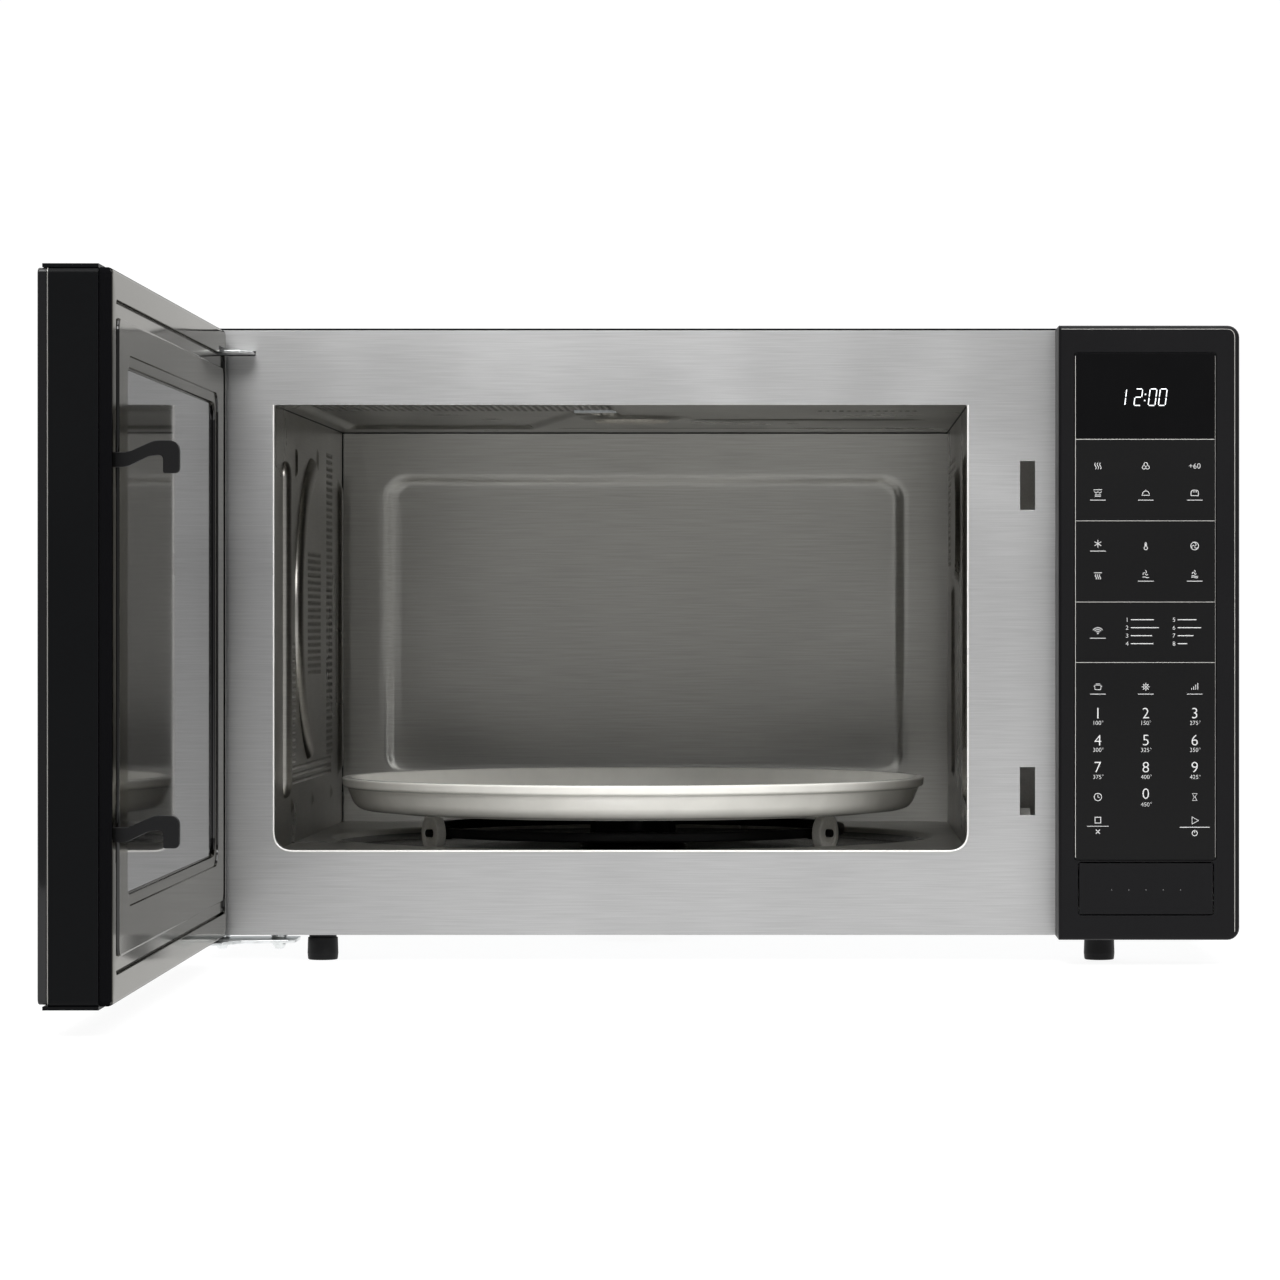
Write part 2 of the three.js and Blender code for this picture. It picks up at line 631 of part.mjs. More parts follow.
function controlPanel() {
  const { left, right, bottom, top, front, wall, corner } = PANEL;
  const corners = [0.6, corner, corner, 0.6];
  const inner = corners.map((r) => Math.max(r - wall, 0));
  const shell = cut(
    push(roundedRect([left, bottom, right, top], corners), 'y', front, -GAP),
    push(roundedRect(grow([left, bottom, right, top], -wall), inner), 'y', front + wall, 1),
  );
  return cut(
    shell,
    bar(KEYPAD.left - GAP, KEYPAD.right + GAP, front - 1, front + KEYPAD.depth + GAP, KEYPAD.bottom - GAP,
      KEYPAD.top + GAP),
    bar(224, 290, front - 1, front + 4, 318, 353),
    bar(BUTTON.left - 0.6, BUTTON.right + 0.6, front - 1, front + 4, BUTTON.bottom - 0.6, BUTTON.top + 0.6),
  );
}

function overlay(bottom, top) {
  return bar(KEYPAD.left, KEYPAD.right, PANEL.front - 0.2, PANEL.front + KEYPAD.depth, bottom, top);
}

function releaseButton() {
  const { left, right, bottom, top } = BUTTON;
  const { front } = PANEL;
  return join(
    bar(left, right, front - 0.4, front + 6, bottom, top),
    rod('y', [240, 0, 45.8], 3, front + 5, front + 13, 16),
    bar(226.5, 237.5, front + 5, front + 14.6, 43.5, 47.5),
    bar(270, 282, front + 5, front + 12, 42, 50),
  );
}

function releaseSpring() {
  const { x, z, radius, wire, turns, from, to } = RELEASE_SPRING;
  const steps = turns * 10;
  const path = new THREE.CatmullRomCurve3(row(steps + 1, (i) => {
    const angle = (2 * Math.PI * turns * i) / steps;
    const y = from + wire + ((to - from - 2 * wire) * i) / steps;
    return new THREE.Vector3(x + radius * Math.cos(angle), y, z + radius * Math.sin(angle));
  }));
  const section = new THREE.Shape().absarc(0, 0, wire, 0, 2 * Math.PI, false);
  return solid(new THREE.ExtrudeGeometry(section, { steps, extrudePath: path, curveSegments: 3 }));
}

function controlBoard() {
  return join(
    bar(213, 300, -20, -18.4, 76, 352),
    bar(222, 252, -19, 0.2, 200, 238),
    bar(262, 284, -19, -3, 206, 222),
    bar(262, 284, -19, -3, 232, 248),
    rod('y', [236, 0, 170], 9, -19, -1, 20),
    rod('y', [262, 0, 165], 6, -19, -6, 16),
    bar(220, 290, -19, -8, 100, 112),
    bar(226, 246, -22.5, -19, 270, 290),
  );
}

function springSeat() {
  return join(
    bar(209, 304, -20.3, -18.3, 30, 62),
    bar(209, 211, -20.3, -0.6, 32, 60),
  ).subtract(bar(224, 243.5, -25, -15, 34, 60.5));
}

function displayModule() {
  return join(
    bar(222, 292, -34.4, -28, 315, 356),
    bar(218, 296, -28.2, -26.6, 312, 359),
    ...row(6, (i) => bar(230 + 9 * i, 231 + 9 * i, -27, -20.4, 313, 314)),
  );
}

// ---------------------------------------------------------------- hinges

function upperHingePlate() {
  const { z, thickness, right, left, front } = HINGE_PLATE;
  const shape = outline([[left, 26], [left, -20], [left + 4, front], [right - 6, front], [right, front + 12],
    [right, 26]]);
  return join(
    push(shape, 'z', z, z + thickness),
    rod('z', [PIVOT.x, PIVOT.y, 0], 3, z - 12, z + 0.5, 20),
    bar(left, right, 24.4, 26, z - 34, z + thickness),
  );
}

function lowerHingePlate() {
  const shape = outline([[-311, 34], [-311, -20], [-307, -25], [-288, -25], [-279, -8], [-252, -2], [-248, 3],
    [-248, 34]]);
  const bosses = HINGE_SCREWS.map((x) => rod('z', [x, 22, 0], 5, 13, BASE.bottom - GAP, 20));
  const holes = HINGE_SCREWS.map((x) => rod('z', [x, 22, 0], 2.5, 5, 25, 16));
  return cut(
    join(push(shape, 'z', 11.2, 13.2), rod('z', [PIVOT.x, PIVOT.y, 0], 3, 13, 33, 20), ...bosses),
    ...holes,
  );
}

function hingeScrew(x) {
  const profile = [[0, 6.4], [2.6, 6.6], [4, 8], [4.1, 10.9], [2.2, 10.9], [2.2, 23], [0, 23]];
  return turned(profile, x, 22, 20);
}

// ---------------------------------------------------------------- door, in its own (u, v, z) frame

const clearHingePlate = (shape) => cut(shape, cut(
  rod('z', [0, 0, 0], 35.6, 360.8, 365.2, 28),
  bar(-50, 50, -50, -10.4, 350, 380),
));
const BEARING_BORE = rod('z', [0, 0, 0], 3.4, 5, 380, 16);

function doorGlass() {
  const { hinge, free, front, bottom, top } = DOOR;
  return push(roundedRect([hinge, bottom, free, top], 2.5), 'y', front, front + GLASS_THICKNESS, 4);
}

function doorShell() {
  const outer = [DOOR.hinge, 15.4, DOOR.free, 376.2];
  const [from, to] = [DOOR.front + 5.1, 8.2];
  const flangeFrom = DOOR.front + 2.3;
  const glazing = [WINDOW.hinge - 8, WINDOW.bottom - 8, WINDOW.free + 8, WINDOW.top + 8];
  const pan = cut(
    push(roundedRect(outer, 3), 'y', from, to, 3),
    push(roundedRect(grow(outer, -1), 2), 'y', from + 1, to + 1, 3),
    push(roundedRect(glazing, 8), 'y', from - 1, from + 2, 4),
  );
  const flanges = join(
    bar(DOOR.hinge + 1, DOOR.free - 1, flangeFrom, to, 376.1, 377.9),
    bar(DOOR.hinge + 1, DOOR.free - 1, flangeFrom, to, 13.7, 15.5),
  );
  return cut(clearHingePlate(join(pan, flanges)), rod('z', [0, 0, 0], 3.6, 10, 20, 16));
}

function doorFrame() {
  const [from, to] = [-14.5, 6.2];
  const pan = cut(
    bar(-8, 501, from, to, 18, 374),
    bar(-8 + SHEET, 501 - SHEET, from - 1, to - SHEET, 18 + SHEET, 374 - SHEET),
  );
  const springStop = bar(484, 500.6, -12, -1.5, 323.4, 325);
  const blocks = join(
    bar(-7.5, 8, -8, to - 0.5, 346, 360.5),
    bar(-7.5, 8, -8, to - 0.5, 18.5, 36),
  );
  const hookRooms = HOOK_ROOMS.map(([z0, z1]) => bar(484, 497, 4, 8, z0, z1));
  return cut(clearHingePlate(join(pan, blocks, springStop)), BEARING_BORE, ...hookRooms);
}

function chokeCover() {
  const outer = [-6.5, 15.4, 506, 376.2];
  const { inner } = DOOR;
  const windowRect = [WINDOW.hinge, WINDOW.bottom, WINDOW.free, WINDOW.top];
  const plate = cut(
    push(roundedRect(outer, 3), 'y', 8.5, inner, 2),
    push(roundedRect(grow(outer, -1.6), 2), 'y', 8, inner - 2.5, 2),
  );
  const seal = [SEAL_GROOVE.hinge, SEAL_GROOVE.bottom, SEAL_GROOVE.free, SEAL_GROOVE.top];
  const { width, depth } = SEAL_GROOVE;
  const groove = cut(
    push(roundedRect(seal, 4), 'y', inner - depth, inner + 1, 2),
    push(roundedRect(grow(seal, -width), 4 - width), 'y', inner - 3, inner + 2, 2),
  );
  const hookHoles = HOOK_ROOMS.map(([z0, z1]) => bar(487.2, 495, 0, 20, z0 + 3, z1 - 3));
  return cut(
    clearHingePlate(plate),
    push(roundedRect(windowRect, WINDOW.corner), 'y', 0, 20, 3),
    groove,
    ...hookHoles,
  );
}

function doorInnerWindow() {
  const rect = grow([WINDOW.hinge, WINDOW.bottom, WINDOW.free, WINDOW.top], 5);
  return push(roundedRect(rect, WINDOW.corner), 'y', 10.2, 12.2, 4);
}

// One moulding slides in the door's free edge: a spine with two arms, each ending in a hook.
function latchHead() {
  const tip = DOOR.inner + HOOK.reach;
  const arm = (z) => push(outline([
    [-4, z], [18, z], [24, z + 2.2], [32, z + 5], [36.5, z + 4.6], [38, z + 1], [38, z - 3.4],
    [tip - 1.2, z - 3.4], [tip, z - 1], [tip, z + 6], [tip - 3, z + 11], [tip - 9, z + 13],
    [tip - 15, z + 12], [22, z + 8.4], [15, z + 7], [-4, z + 7],
  ]), 'x', HOOK.u, HOOK.u + HOOK.width);
  const spine = bar(HOOK.u - 2, HOOK.u + HOOK.width + 2, -10, -3.6, HOOK.lower - 4, HOOK.upper + 14);
  const springPeg = rod('z', [HOOK.u + 2.4, -6.8, 0], 1.6, HOOK.upper + 13, HOOK.upper + 21, 12);
  return join(arm(HOOK.upper), arm(HOOK.lower), spine, springPeg);
}

function latchSpring() {
  const [bottom, top, turns, wire, radius] = [HOOK.upper + 14.6, HOOK.upper + 44, 6, 0.5, 2.9];
  const steps = turns * 8;
  const path = new THREE.CatmullRomCurve3(row(steps + 1, (i) => {
    const angle = (2 * Math.PI * turns * i) / steps;
    const z = bottom + wire + ((top - bottom - 2 * wire) * i) / steps;
    return new THREE.Vector3(HOOK.u + 2.4 + radius * Math.cos(angle), -6.8 + radius * Math.sin(angle), z);
  }));
  const section = new THREE.Shape().absarc(0, 0, wire, 0, 2 * Math.PI, false);
  return solid(new THREE.ExtrudeGeometry(section, { steps, extrudePath: path, curveSegments: 3 }));
}

// ---------------------------------------------------------------- assembly

piece('outer_cabinet', outerCabinet(), BLACK_PAINT);
piece('rear_panel', rearPanel(), GALVANISED);
piece('base_plate', basePlate(), GALVANISED);
piece('front_frame', frontFrame(), BRUSHED);
for (const [side, x] of [['left', -FOOT.x], ['right', FOOT.x]]) {
  piece(`foot_front_${side}`, foot(x, FOOT.front), RUBBER);
  piece(`foot_rear_${side}`, foot(x, FOOT.rear), RUBBER);
}

piece('cavity_left_wall', cavityLeftWall(), CAVITY_STEEL);
piece('cavity_right_wall', cavityRightWall(), CAVITY_STEEL);
piece('cavity_ceiling', cavityCeiling(), CAVITY_STEEL);
piece('cavity_floor', cavityFloor(), CAVITY_STEEL);
piece('cavity_back_wall', cavityBackWall(), CAVITY_STEEL);
piece('waveguide_cover', feedCover(), MICA);

piece('turntable_motor', turntableMotor(), ZINC);
piece('drive_coupler', driveCoupler(), BLACK_PLASTIC);
piece('turntable_tray', tray(), CERAMIC);
piece('roller_ring', rollerRing(), BLACK_PLASTIC);
ROLLER_ANGLES.forEach((degrees, i) => piece(`roller_${i + 1}`, roller(degrees), WHITE_PLASTIC));

piece('waveguide', waveguide(), GALVANISED);
piece('magnetron', magnetron(), ZINC);
piece('hv_transformer', highVoltageTransformer(), COPPER);
piece('hv_capacitor', highVoltageCapacitor(), ZINC);
piece('cooling_fan_motor', coolingFanMotor(), ZINC);
piece('cooling_fan_blade', coolingFanBlade(), WHITE_PLASTIC);
piece('fan_shroud', fanShroud(), WHITE_PLASTIC);

piece('convection_housing', convectionHousing(), GALVANISED);
piece('convection_fan', convectionFan(), ZINC);
piece('convection_heater', convectionHeater(), CAVITY_STEEL);
piece('convection_motor', convectionMotor(), ZINC);

piece('oven_lamp', ovenLamp(), CLEAR_GLASS);
piece('lamp_housing', lampHousing(), GALVANISED);
piece('noise_filter_board', noiseFilterBoard(), BOARD_GREEN);
piece('cord_gland', cordGland(), BLACK_PLASTIC);

piece('latch_bracket', latchBracket(), WHITE_PLASTIC);
piece('open_lever', openLever(), WHITE_PLASTIC);
piece('primary_switch', microswitch(137), BLACK_PLASTIC);
piece('monitor_switch', microswitch(183), BLACK_PLASTIC);
piece('secondary_switch', microswitch(229), BLACK_PLASTIC);

piece('control_panel', controlPanel(), BLACK_PLASTIC);
piece('keypad_membrane', overlay(KEYPAD.bottom, KEYPAD.split), GLOSS_BLACK);
piece('display_window', overlay(KEYPAD.split + GAP, KEYPAD.top), CLEAR_GLASS);
piece('release_button', releaseButton(), BLACK_PLASTIC);
piece('release_spring', releaseSpring(), ZINC);
piece('spring_seat', springSeat(), WHITE_PLASTIC);
piece('control_board', controlBoard(), BOARD_GREEN);
piece('display_module', displayModule(), GLOSS_BLACK);

piece('upper_hinge_plate', upperHingePlate(), ZINC);
piece('lower_hinge_plate', lowerHingePlate(), ZINC);
HINGE_SCREWS.forEach((x, i) => piece(`hinge_screw_${i + 1}`, hingeScrew(x), ZINC));

piece('door_front_glass', doorGlass(), GLOSS_BLACK, doorHinge);
piece('door_outer_panel', doorShell(), BLACK_PAINT, doorHinge);
piece('door_frame', doorFrame(), GALVANISED, doorHinge);
piece('choke_cover', chokeCover(), GLOSS_BLACK, doorHinge);
piece('door_inner_window', doorInnerWindow(), CLEAR_GLASS, doorHinge);
piece('latch_head', latchHead(), BLACK_PLASTIC, doorHinge);
piece('latch_spring', latchSpring(), ZINC, doorHinge);

// The origin goes to the bottom centre of the bounding box, with the door open.
const bounds = new THREE.Box3().setFromObject(oven);
const centre = bounds.getCenter(new THREE.Vector3());
oven.position.set(-centre.x, -centre.y, -bounds.min.z);
oven.updateMatrixWorld(true);

export default oven;
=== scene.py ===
"""Looks of the countertop convection microwave oven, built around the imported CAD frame.

Shapes are drawn in millimetres in one of two local frames. BODY has x = 0 in the middle of the
cabinet, y = 0 on the steel face and z = 0 on the worktop. DOOR runs u along the door's width from
the hinge, v through its thickness towards the oven when shut, and z up.
"""

import json
from math import atan2, cos, degrees, hypot, pi, radians, sin, sqrt, tan

import bmesh
import bpy
import numpy as np
from mathutils import Matrix, Vector


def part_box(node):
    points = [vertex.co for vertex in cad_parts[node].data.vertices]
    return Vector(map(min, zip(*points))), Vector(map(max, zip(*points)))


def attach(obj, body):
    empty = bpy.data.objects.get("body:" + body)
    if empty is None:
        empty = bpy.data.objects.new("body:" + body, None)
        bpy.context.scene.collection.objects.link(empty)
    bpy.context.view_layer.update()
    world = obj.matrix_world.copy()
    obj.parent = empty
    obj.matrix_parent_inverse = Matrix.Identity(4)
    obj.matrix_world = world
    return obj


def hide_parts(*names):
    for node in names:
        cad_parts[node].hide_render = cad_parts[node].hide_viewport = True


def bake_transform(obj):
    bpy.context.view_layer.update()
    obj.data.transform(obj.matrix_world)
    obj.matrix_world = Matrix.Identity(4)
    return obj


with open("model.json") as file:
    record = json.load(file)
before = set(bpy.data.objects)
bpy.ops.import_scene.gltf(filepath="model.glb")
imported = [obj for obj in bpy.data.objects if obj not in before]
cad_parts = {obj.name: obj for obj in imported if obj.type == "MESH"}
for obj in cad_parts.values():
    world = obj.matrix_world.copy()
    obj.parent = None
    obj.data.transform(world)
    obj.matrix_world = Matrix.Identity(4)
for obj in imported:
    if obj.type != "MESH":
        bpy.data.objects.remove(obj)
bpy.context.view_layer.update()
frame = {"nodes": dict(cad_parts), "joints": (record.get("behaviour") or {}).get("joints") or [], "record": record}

MM = 0.001
BODY_OF = {node: body for body, nodes in frame["record"]["behaviour"]["bodies"].items() for node in nodes}
JOINTS = {joint["name"]: joint for joint in frame["joints"]}


# ---- frames

def body_space():
    steel_lo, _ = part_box("front_frame")
    cabinet_lo, cabinet_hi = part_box("outer_cabinet")
    origin = Vector(((cabinet_lo.x + cabinet_hi.x) / 2, steel_lo.y, 0))
    return Matrix.Translation(origin) @ Matrix.Scale(MM, 4)


def door_space():
    hinge = JOINTS["door_hinge"]
    turn = Matrix.Rotation(-radians(hinge["range_deg"][1]), 4, "Z")
    return Matrix.Translation(Vector(hinge["pos_m"])) @ turn @ Matrix.Scale(MM, 4)


BODY = body_space()
DOOR = door_space()


def extent(node, space=BODY):
    """Lowest and highest corner of a CAD node in a local frame, in millimetres."""
    back = space.inverted()
    points = np.array([back @ v.co for v in frame["nodes"][node].data.vertices])
    return Vector(points.min(0)), Vector(points.max(0))


# ---- materials

def shader(name):
    material = bpy.data.materials.new(name)
    material.use_nodes = True
    return material, material.node_tree, material.node_tree.nodes["Principled BSDF"]


def node(tree, kind, inputs=None, **settings):
    made = tree.nodes.new("ShaderNode" + kind)
    for key, value in settings.items():
        setattr(made, key, value)
    for key, value in (inputs or {}).items():
        if isinstance(value, bpy.types.NodeSocket):
            tree.links.new(value, made.inputs[key])
        else:
            made.inputs[key].default_value = value
    return made


def even(cycles):
    """The same number of cycles per metre along x, y and z."""
    return (cycles,) * 3


def grain(tree, scale, detail=3.0):
    """Noise over the object's own coordinates; scale is cycles per metre along x, y and z."""
    place = node(tree, "TexCoord").outputs["Object"]
    mapped = node(tree, "Mapping", {"Vector": place, "Scale": scale}).outputs["Vector"]
    return node(tree, "TexNoise", {"Vector": mapped, "Scale": 1.0, "Detail": detail}).outputs["Fac"]


def spread(tree, value, low, high):
    return node(
        tree, "MapRange", {"Value": value, "From Min": 0.3, "From Max": 0.7, "To Min": low, "To Max": high}
    ).outputs["Result"]


def tinted(tree, value, color, amount):
    """A colour that varies by +-amount with value."""
    ramp = node(tree, "ValToRGB", {"Fac": value})
    for stop, place, gain in zip(ramp.color_ramp.elements, (0.3, 0.7), (1 - amount, 1 + amount)):
        stop.position = place
        stop.color = [min(1.0, channel * gain) for channel in color] + [1.0]
    return ramp.outputs["Color"]


def surface(name, color, roughness, fine, coarse=even(9), tint=0.08, rough_by=0.04, bump_mm=0.01, **sockets):
    """A finish with fine grain, broad patchy wear in its roughness, and a little relief."""
    material, tree, bsdf = shader(name)
    fine_grain = grain(tree, fine)
    patches = grain(tree, coarse, 5.0)
    tree.links.new(tinted(tree, fine_grain, color, tint), bsdf.inputs["Base Color"])
    tree.links.new(spread(tree, patches, roughness - rough_by, roughness + rough_by), bsdf.inputs["Roughness"])
    bump = node(tree, "Bump", {"Height": fine_grain, "Distance": bump_mm * MM, "Strength": 1.0})
    tree.links.new(bump.outputs["Normal"], bsdf.inputs["Normal"])
    for key, value in sockets.items():
        bsdf.inputs[key.replace("_", " ")].default_value = value
    return material


ISO = even(900)
BRUSHED_X = (30, 400, 1300)

MAT = {
    "steel": surface("brushed_steel", (0.50, 0.50, 0.50), 0.34, BRUSHED_X, tint=0.07, bump_mm=0.004,
                     Metallic=1.0, Anisotropic=0.6, Anisotropic_Rotation=0.25),
    # A near-white, barely metallic finish for the bead on the opening's folded edge: a painted highlight where the
    # edge catches the light.
    "steel_edge": surface("steel_edge", (0.92, 0.91, 0.88), 0.3, ISO, tint=0.04, bump_mm=0.002, Metallic=0.2),
    "cavity": surface("cavity_steel", (0.33, 0.325, 0.305), 0.30, (40, 40, 1100), tint=0.09, bump_mm=0.005,
                      Metallic=1.0, Anisotropic=0.35),
    # The side walls take the cavity steel a little darker: painted shade that dims the walls and their reflections
    # in the back wall.
    "cavity_side": surface("cavity_side_steel", (0.31, 0.30, 0.28), 0.30, (40, 40, 1100), tint=0.09, bump_mm=0.005,
                           Metallic=1.0),
    "cavity_back": surface("cavity_back_steel", (0.34, 0.336, 0.318), 0.32, (26, 400, 1000), tint=0.08,
                           bump_mm=0.006, Metallic=1.0, Anisotropic=0.9, Anisotropic_Rotation=0.25),
    # A dark glossy finish for the turntable recess: painted shade for the shadow and dark reflection under the
    # tray.
    "recess_shade": surface("floor_recess_painted_shade", (0.11, 0.11, 0.105), 0.22, ISO, tint=0.2, bump_mm=0.008),
    "galvanised": surface("galvanised", (0.50, 0.52, 0.53), 0.42, even(160), even(60), tint=0.16,
                          rough_by=0.10, bump_mm=0.01, Metallic=0.9),
    "black_paint": surface("black_paint", (0.0016, 0.0018, 0.0022), 0.45, even(2200), tint=0.15,
                           bump_mm=0.02, Specular_IOR_Level=0.09),
    "panel": surface("panel_plastic", (0.0050, 0.0049, 0.0055), 0.40, even(2600), tint=0.2, bump_mm=0.01,
                     Specular_IOR_Level=0.13),
    "membrane": surface("membrane", (0.0056, 0.0056, 0.0058), 0.34, even(3000), tint=0.1, bump_mm=0.005,
                        Specular_IOR_Level=0.13),
    "display": surface("display_window", (0.002, 0.002, 0.0023), 0.16, even(60), tint=0.1, rough_by=0.02,
                       bump_mm=0.001, Specular_IOR_Level=0.17),
    "plastic": surface("black_plastic", (0.004, 0.004, 0.0044), 0.38, even(1800), tint=0.15, bump_mm=0.012,
                       Specular_IOR_Level=0.2),
    "matt_black": surface("matt_black", (0.004, 0.004, 0.0045), 0.7, even(1500), tint=0.15, bump_mm=0.02,
                          Specular_IOR_Level=0.0),
    "choke": surface("choke_plastic", (0.05, 0.05, 0.05), 0.10, even(900), tint=0.05, rough_by=0.02,
                     bump_mm=0.001, Metallic=1.0, Specular_Tint=(0.62, 0.61, 0.58, 1.0)),
    "gloss": surface("gloss_black", (0.006, 0.006, 0.0065), 0.045, even(120), tint=0.1, rough_by=0.012,
                     bump_mm=0.0, IOR=1.75),
    # Black rubber for the feet; the same finish also serves as painted shade in the cavity's corner seams.
    "rubber": surface("rubber", (0.004, 0.004, 0.0045), 0.5, even(1500), tint=0.2, bump_mm=0.05,
                      Specular_IOR_Level=0.2),
    "ceramic": surface("glazed_stoneware", (0.88, 0.865, 0.81), 0.16, even(70), even(14), tint=0.03,
                       rough_by=0.05, bump_mm=0.03, Coat_Weight=0.4, Coat_Roughness=0.08),
    "nylon": surface("roller_nylon", (0.88, 0.86, 0.80), 0.38, even(700), tint=0.06, bump_mm=0.02),
    "white": surface("white_plastic", (0.70, 0.69, 0.66), 0.45, even(900), tint=0.05, bump_mm=0.02),
    "board": surface("board_green", (0.02, 0.09, 0.035), 0.4, even(500), tint=0.25, bump_mm=0.01),
    "laminations": surface("laminations", (0.20, 0.19, 0.18), 0.45, (30, 1600, 30), tint=0.3, bump_mm=0.05,
                           Metallic=0.8),
    "zinc": surface("zinc_plate", (0.85, 0.87, 0.87), 0.32, even(240), tint=0.1, rough_by=0.06, bump_mm=0.01,
                    Metallic=1.0),
    "heater": surface("heater_sheath", (0.09, 0.085, 0.08), 0.5, even(600), tint=0.3, bump_mm=0.03,
                      Metallic=0.6),
    "mica": surface("mica", (0.36, 0.34, 0.30), 0.35, even(300), tint=0.2, rough_by=0.1, bump_mm=0.02),
    "print": surface("legend_print", (0.62, 0.62, 0.62), 0.5, even(2000), tint=0.05, bump_mm=0.002),
    # A light silvery line finish: printed rules on the keypad, and painted highlights along the edges of the panel
    # and the keypad.
    "silver_line": surface("silver_line", (0.62, 0.61, 0.58), 0.3, even(900), tint=0.05, bump_mm=0.002,
                           Metallic=0.4),
    "trim": surface("trim", (0.26, 0.255, 0.24), 0.35, even(900), tint=0.05, bump_mm=0.002, Metallic=0.4),
}


def glowing(name, color, strength):
    material, tree, bsdf = shader(name)
    tree.links.new(tinted(tree, grain(tree, even(400)), color, 0.05), bsdf.inputs["Emission Color"])
    bsdf.inputs["Emission Strength"].default_value = strength
    bsdf.inputs["Roughness"].default_value = 0.4
    return material


def printed_glass(name, window, pitch_mm, dot_mm):
    """Black glass: a plain printed border, and fine dots in a lighter print over the window rectangle."""
    material, tree, bsdf = shader(name)
    place = node(tree, "TexCoord").outputs["Object"]
    door_inverse = DOOR.inverted()
    turn = door_inverse.to_euler()
    local = node(tree, "Mapping", {
        "Vector": place, "Location": door_inverse.to_translation(), "Rotation": turn, "Scale": (1000,) * 3,
    }).outputs["Vector"]
    axes = node(tree, "SeparateXYZ", {"Vector": local}).outputs

    def maths(operation, *values):
        return node(tree, "Math", dict(enumerate(values)), operation=operation).outputs["Value"]

    inside = None
    for value, low, high in ((axes["X"], window[0], window[2]), (axes["Z"], window[1], window[3])):
        centre, half = (low + high) / 2, (high - low) / 2
        within = maths("LESS_THAN", maths("ABSOLUTE", maths("SUBTRACT", value, centre)), half)
        inside = within if inside is None else maths("MULTIPLY", inside, within)
    waves = []
    for value in (axes["X"], axes["Z"]):
        folded = maths("PINGPONG", value, pitch_mm / 2)
        waves.append(maths("POWER", folded, 2.0))
    dots = maths("LESS_THAN", maths("ADD", *waves), dot_mm ** 2)
    mask = maths("MULTIPLY", inside, dots)
    color = node(tree, "Mix", data_type="RGBA")
    mixer = [socket for socket in color.inputs if socket.name in ("A", "B") and socket.type == "RGBA"]
    mixer[0].default_value = (0.006, 0.006, 0.0065, 1)
    mixer[1].default_value = (0.035, 0.036, 0.038, 1)
    tree.links.new(mask, color.inputs["Factor"])
    out = next(socket for socket in color.outputs if socket.type == "RGBA")
    tree.links.new(out, bsdf.inputs["Base Color"])
    tree.links.new(spread(tree, grain(tree, even(12), 5.0), 0.03, 0.06), bsdf.inputs["Roughness"])
    bsdf.inputs["IOR"].default_value = 1.42
    return material


# ---- outlines

def polar(cx, cy, radius, angle):
    return (cx + radius * cos(angle), cy + radius * sin(angle))


def fillet(points, radii, steps=5, closed=True):
    """Rounds the corners of a polygon, or of a polyline that keeps its ends."""
    count = len(points)
    radii = radii if isinstance(radii, (list, tuple)) else [radii] * count
    made = []
    for i, (point, radius) in enumerate(zip(points, radii)):
        here = Vector(point)
        if radius <= 0 or (not closed and i in (0, count - 1)):
            made.append(tuple(here))
            continue
        before = Vector(points[i - 1]) - here
        after = Vector(points[(i + 1) % count]) - here
        opening = before.angle(after)
        reach = min(radius / tan(opening / 2), before.length * 0.49, after.length * 0.49)
        start, end = here + before.normalized() * reach, here + after.normalized() * reach
        for step in range(steps + 1):
            t = step / steps
            made.append(tuple(start * (1 - t) ** 2 + here * 2 * t * (1 - t) + end * t ** 2))
    return made


def rounded_rect(rect, corner, steps=6):
    left, bottom, right, top = rect
    radii = list(corner) if isinstance(corner, (list, tuple)) else [corner] * 4
    centres = (
        (left + radii[0], bottom + radii[0], 180), (right - radii[1], bottom + radii[1], 270),
        (right - radii[2], top - radii[2], 0), (left + radii[3], top - radii[3], 90),
    )
    points = []
    for (cx, cy, start), radius in zip(centres, radii):
        for step in range(steps + 1):
            points.append(polar(cx, cy, radius, radians(start + 90 * step / steps)))
    return points


def inset(rect, by):
    return (rect[0] + by, rect[1] + by, rect[2] - by, rect[3] - by)


def arc(cx, cy, radius, start, end, steps=8):
    return [polar(cx, cy, radius, radians(start + (end - start) * i / steps)) for i in range(steps + 1)]


# ---- meshes

def loft(loops, cap=True):
    """Closed loops of equal length joined one after another, with flat caps at the ends or joined in a ring."""
    size = len(loops[0])
    verts = [point for loop in loops for point in loop]
    faces = []
    for k in range(len(loops) - 1):
        for i in range(size):
            j = (i + 1) % size
            faces.append((k * size + i, k * size + j, (k + 1) * size + j, (k + 1) * size + i))
    last = (len(loops) - 1) * size
    if cap:
        faces.append(tuple(range(size))[::-1])
        faces.append(tuple(last + i for i in range(size)))
    else:
        for i in range(size):
            j = (i + 1) % size
            faces.append((last + i, last + j, j, i))
    return verts, faces


def slab(outline, low, high, axis="y"):
    """An outline pushed from low to high: drawn in (x, z) along y, in (y, z) along x, or in (x, y) along z."""
    place = {"y": lambda a, b, d: (a, d, b), "x": lambda a, b, d: (d, a, b), "z": lambda a, b, d: (a, b, d)}[axis]
    return loft([[place(a, b, depth) for a, b in outline] for depth in (low, high)])


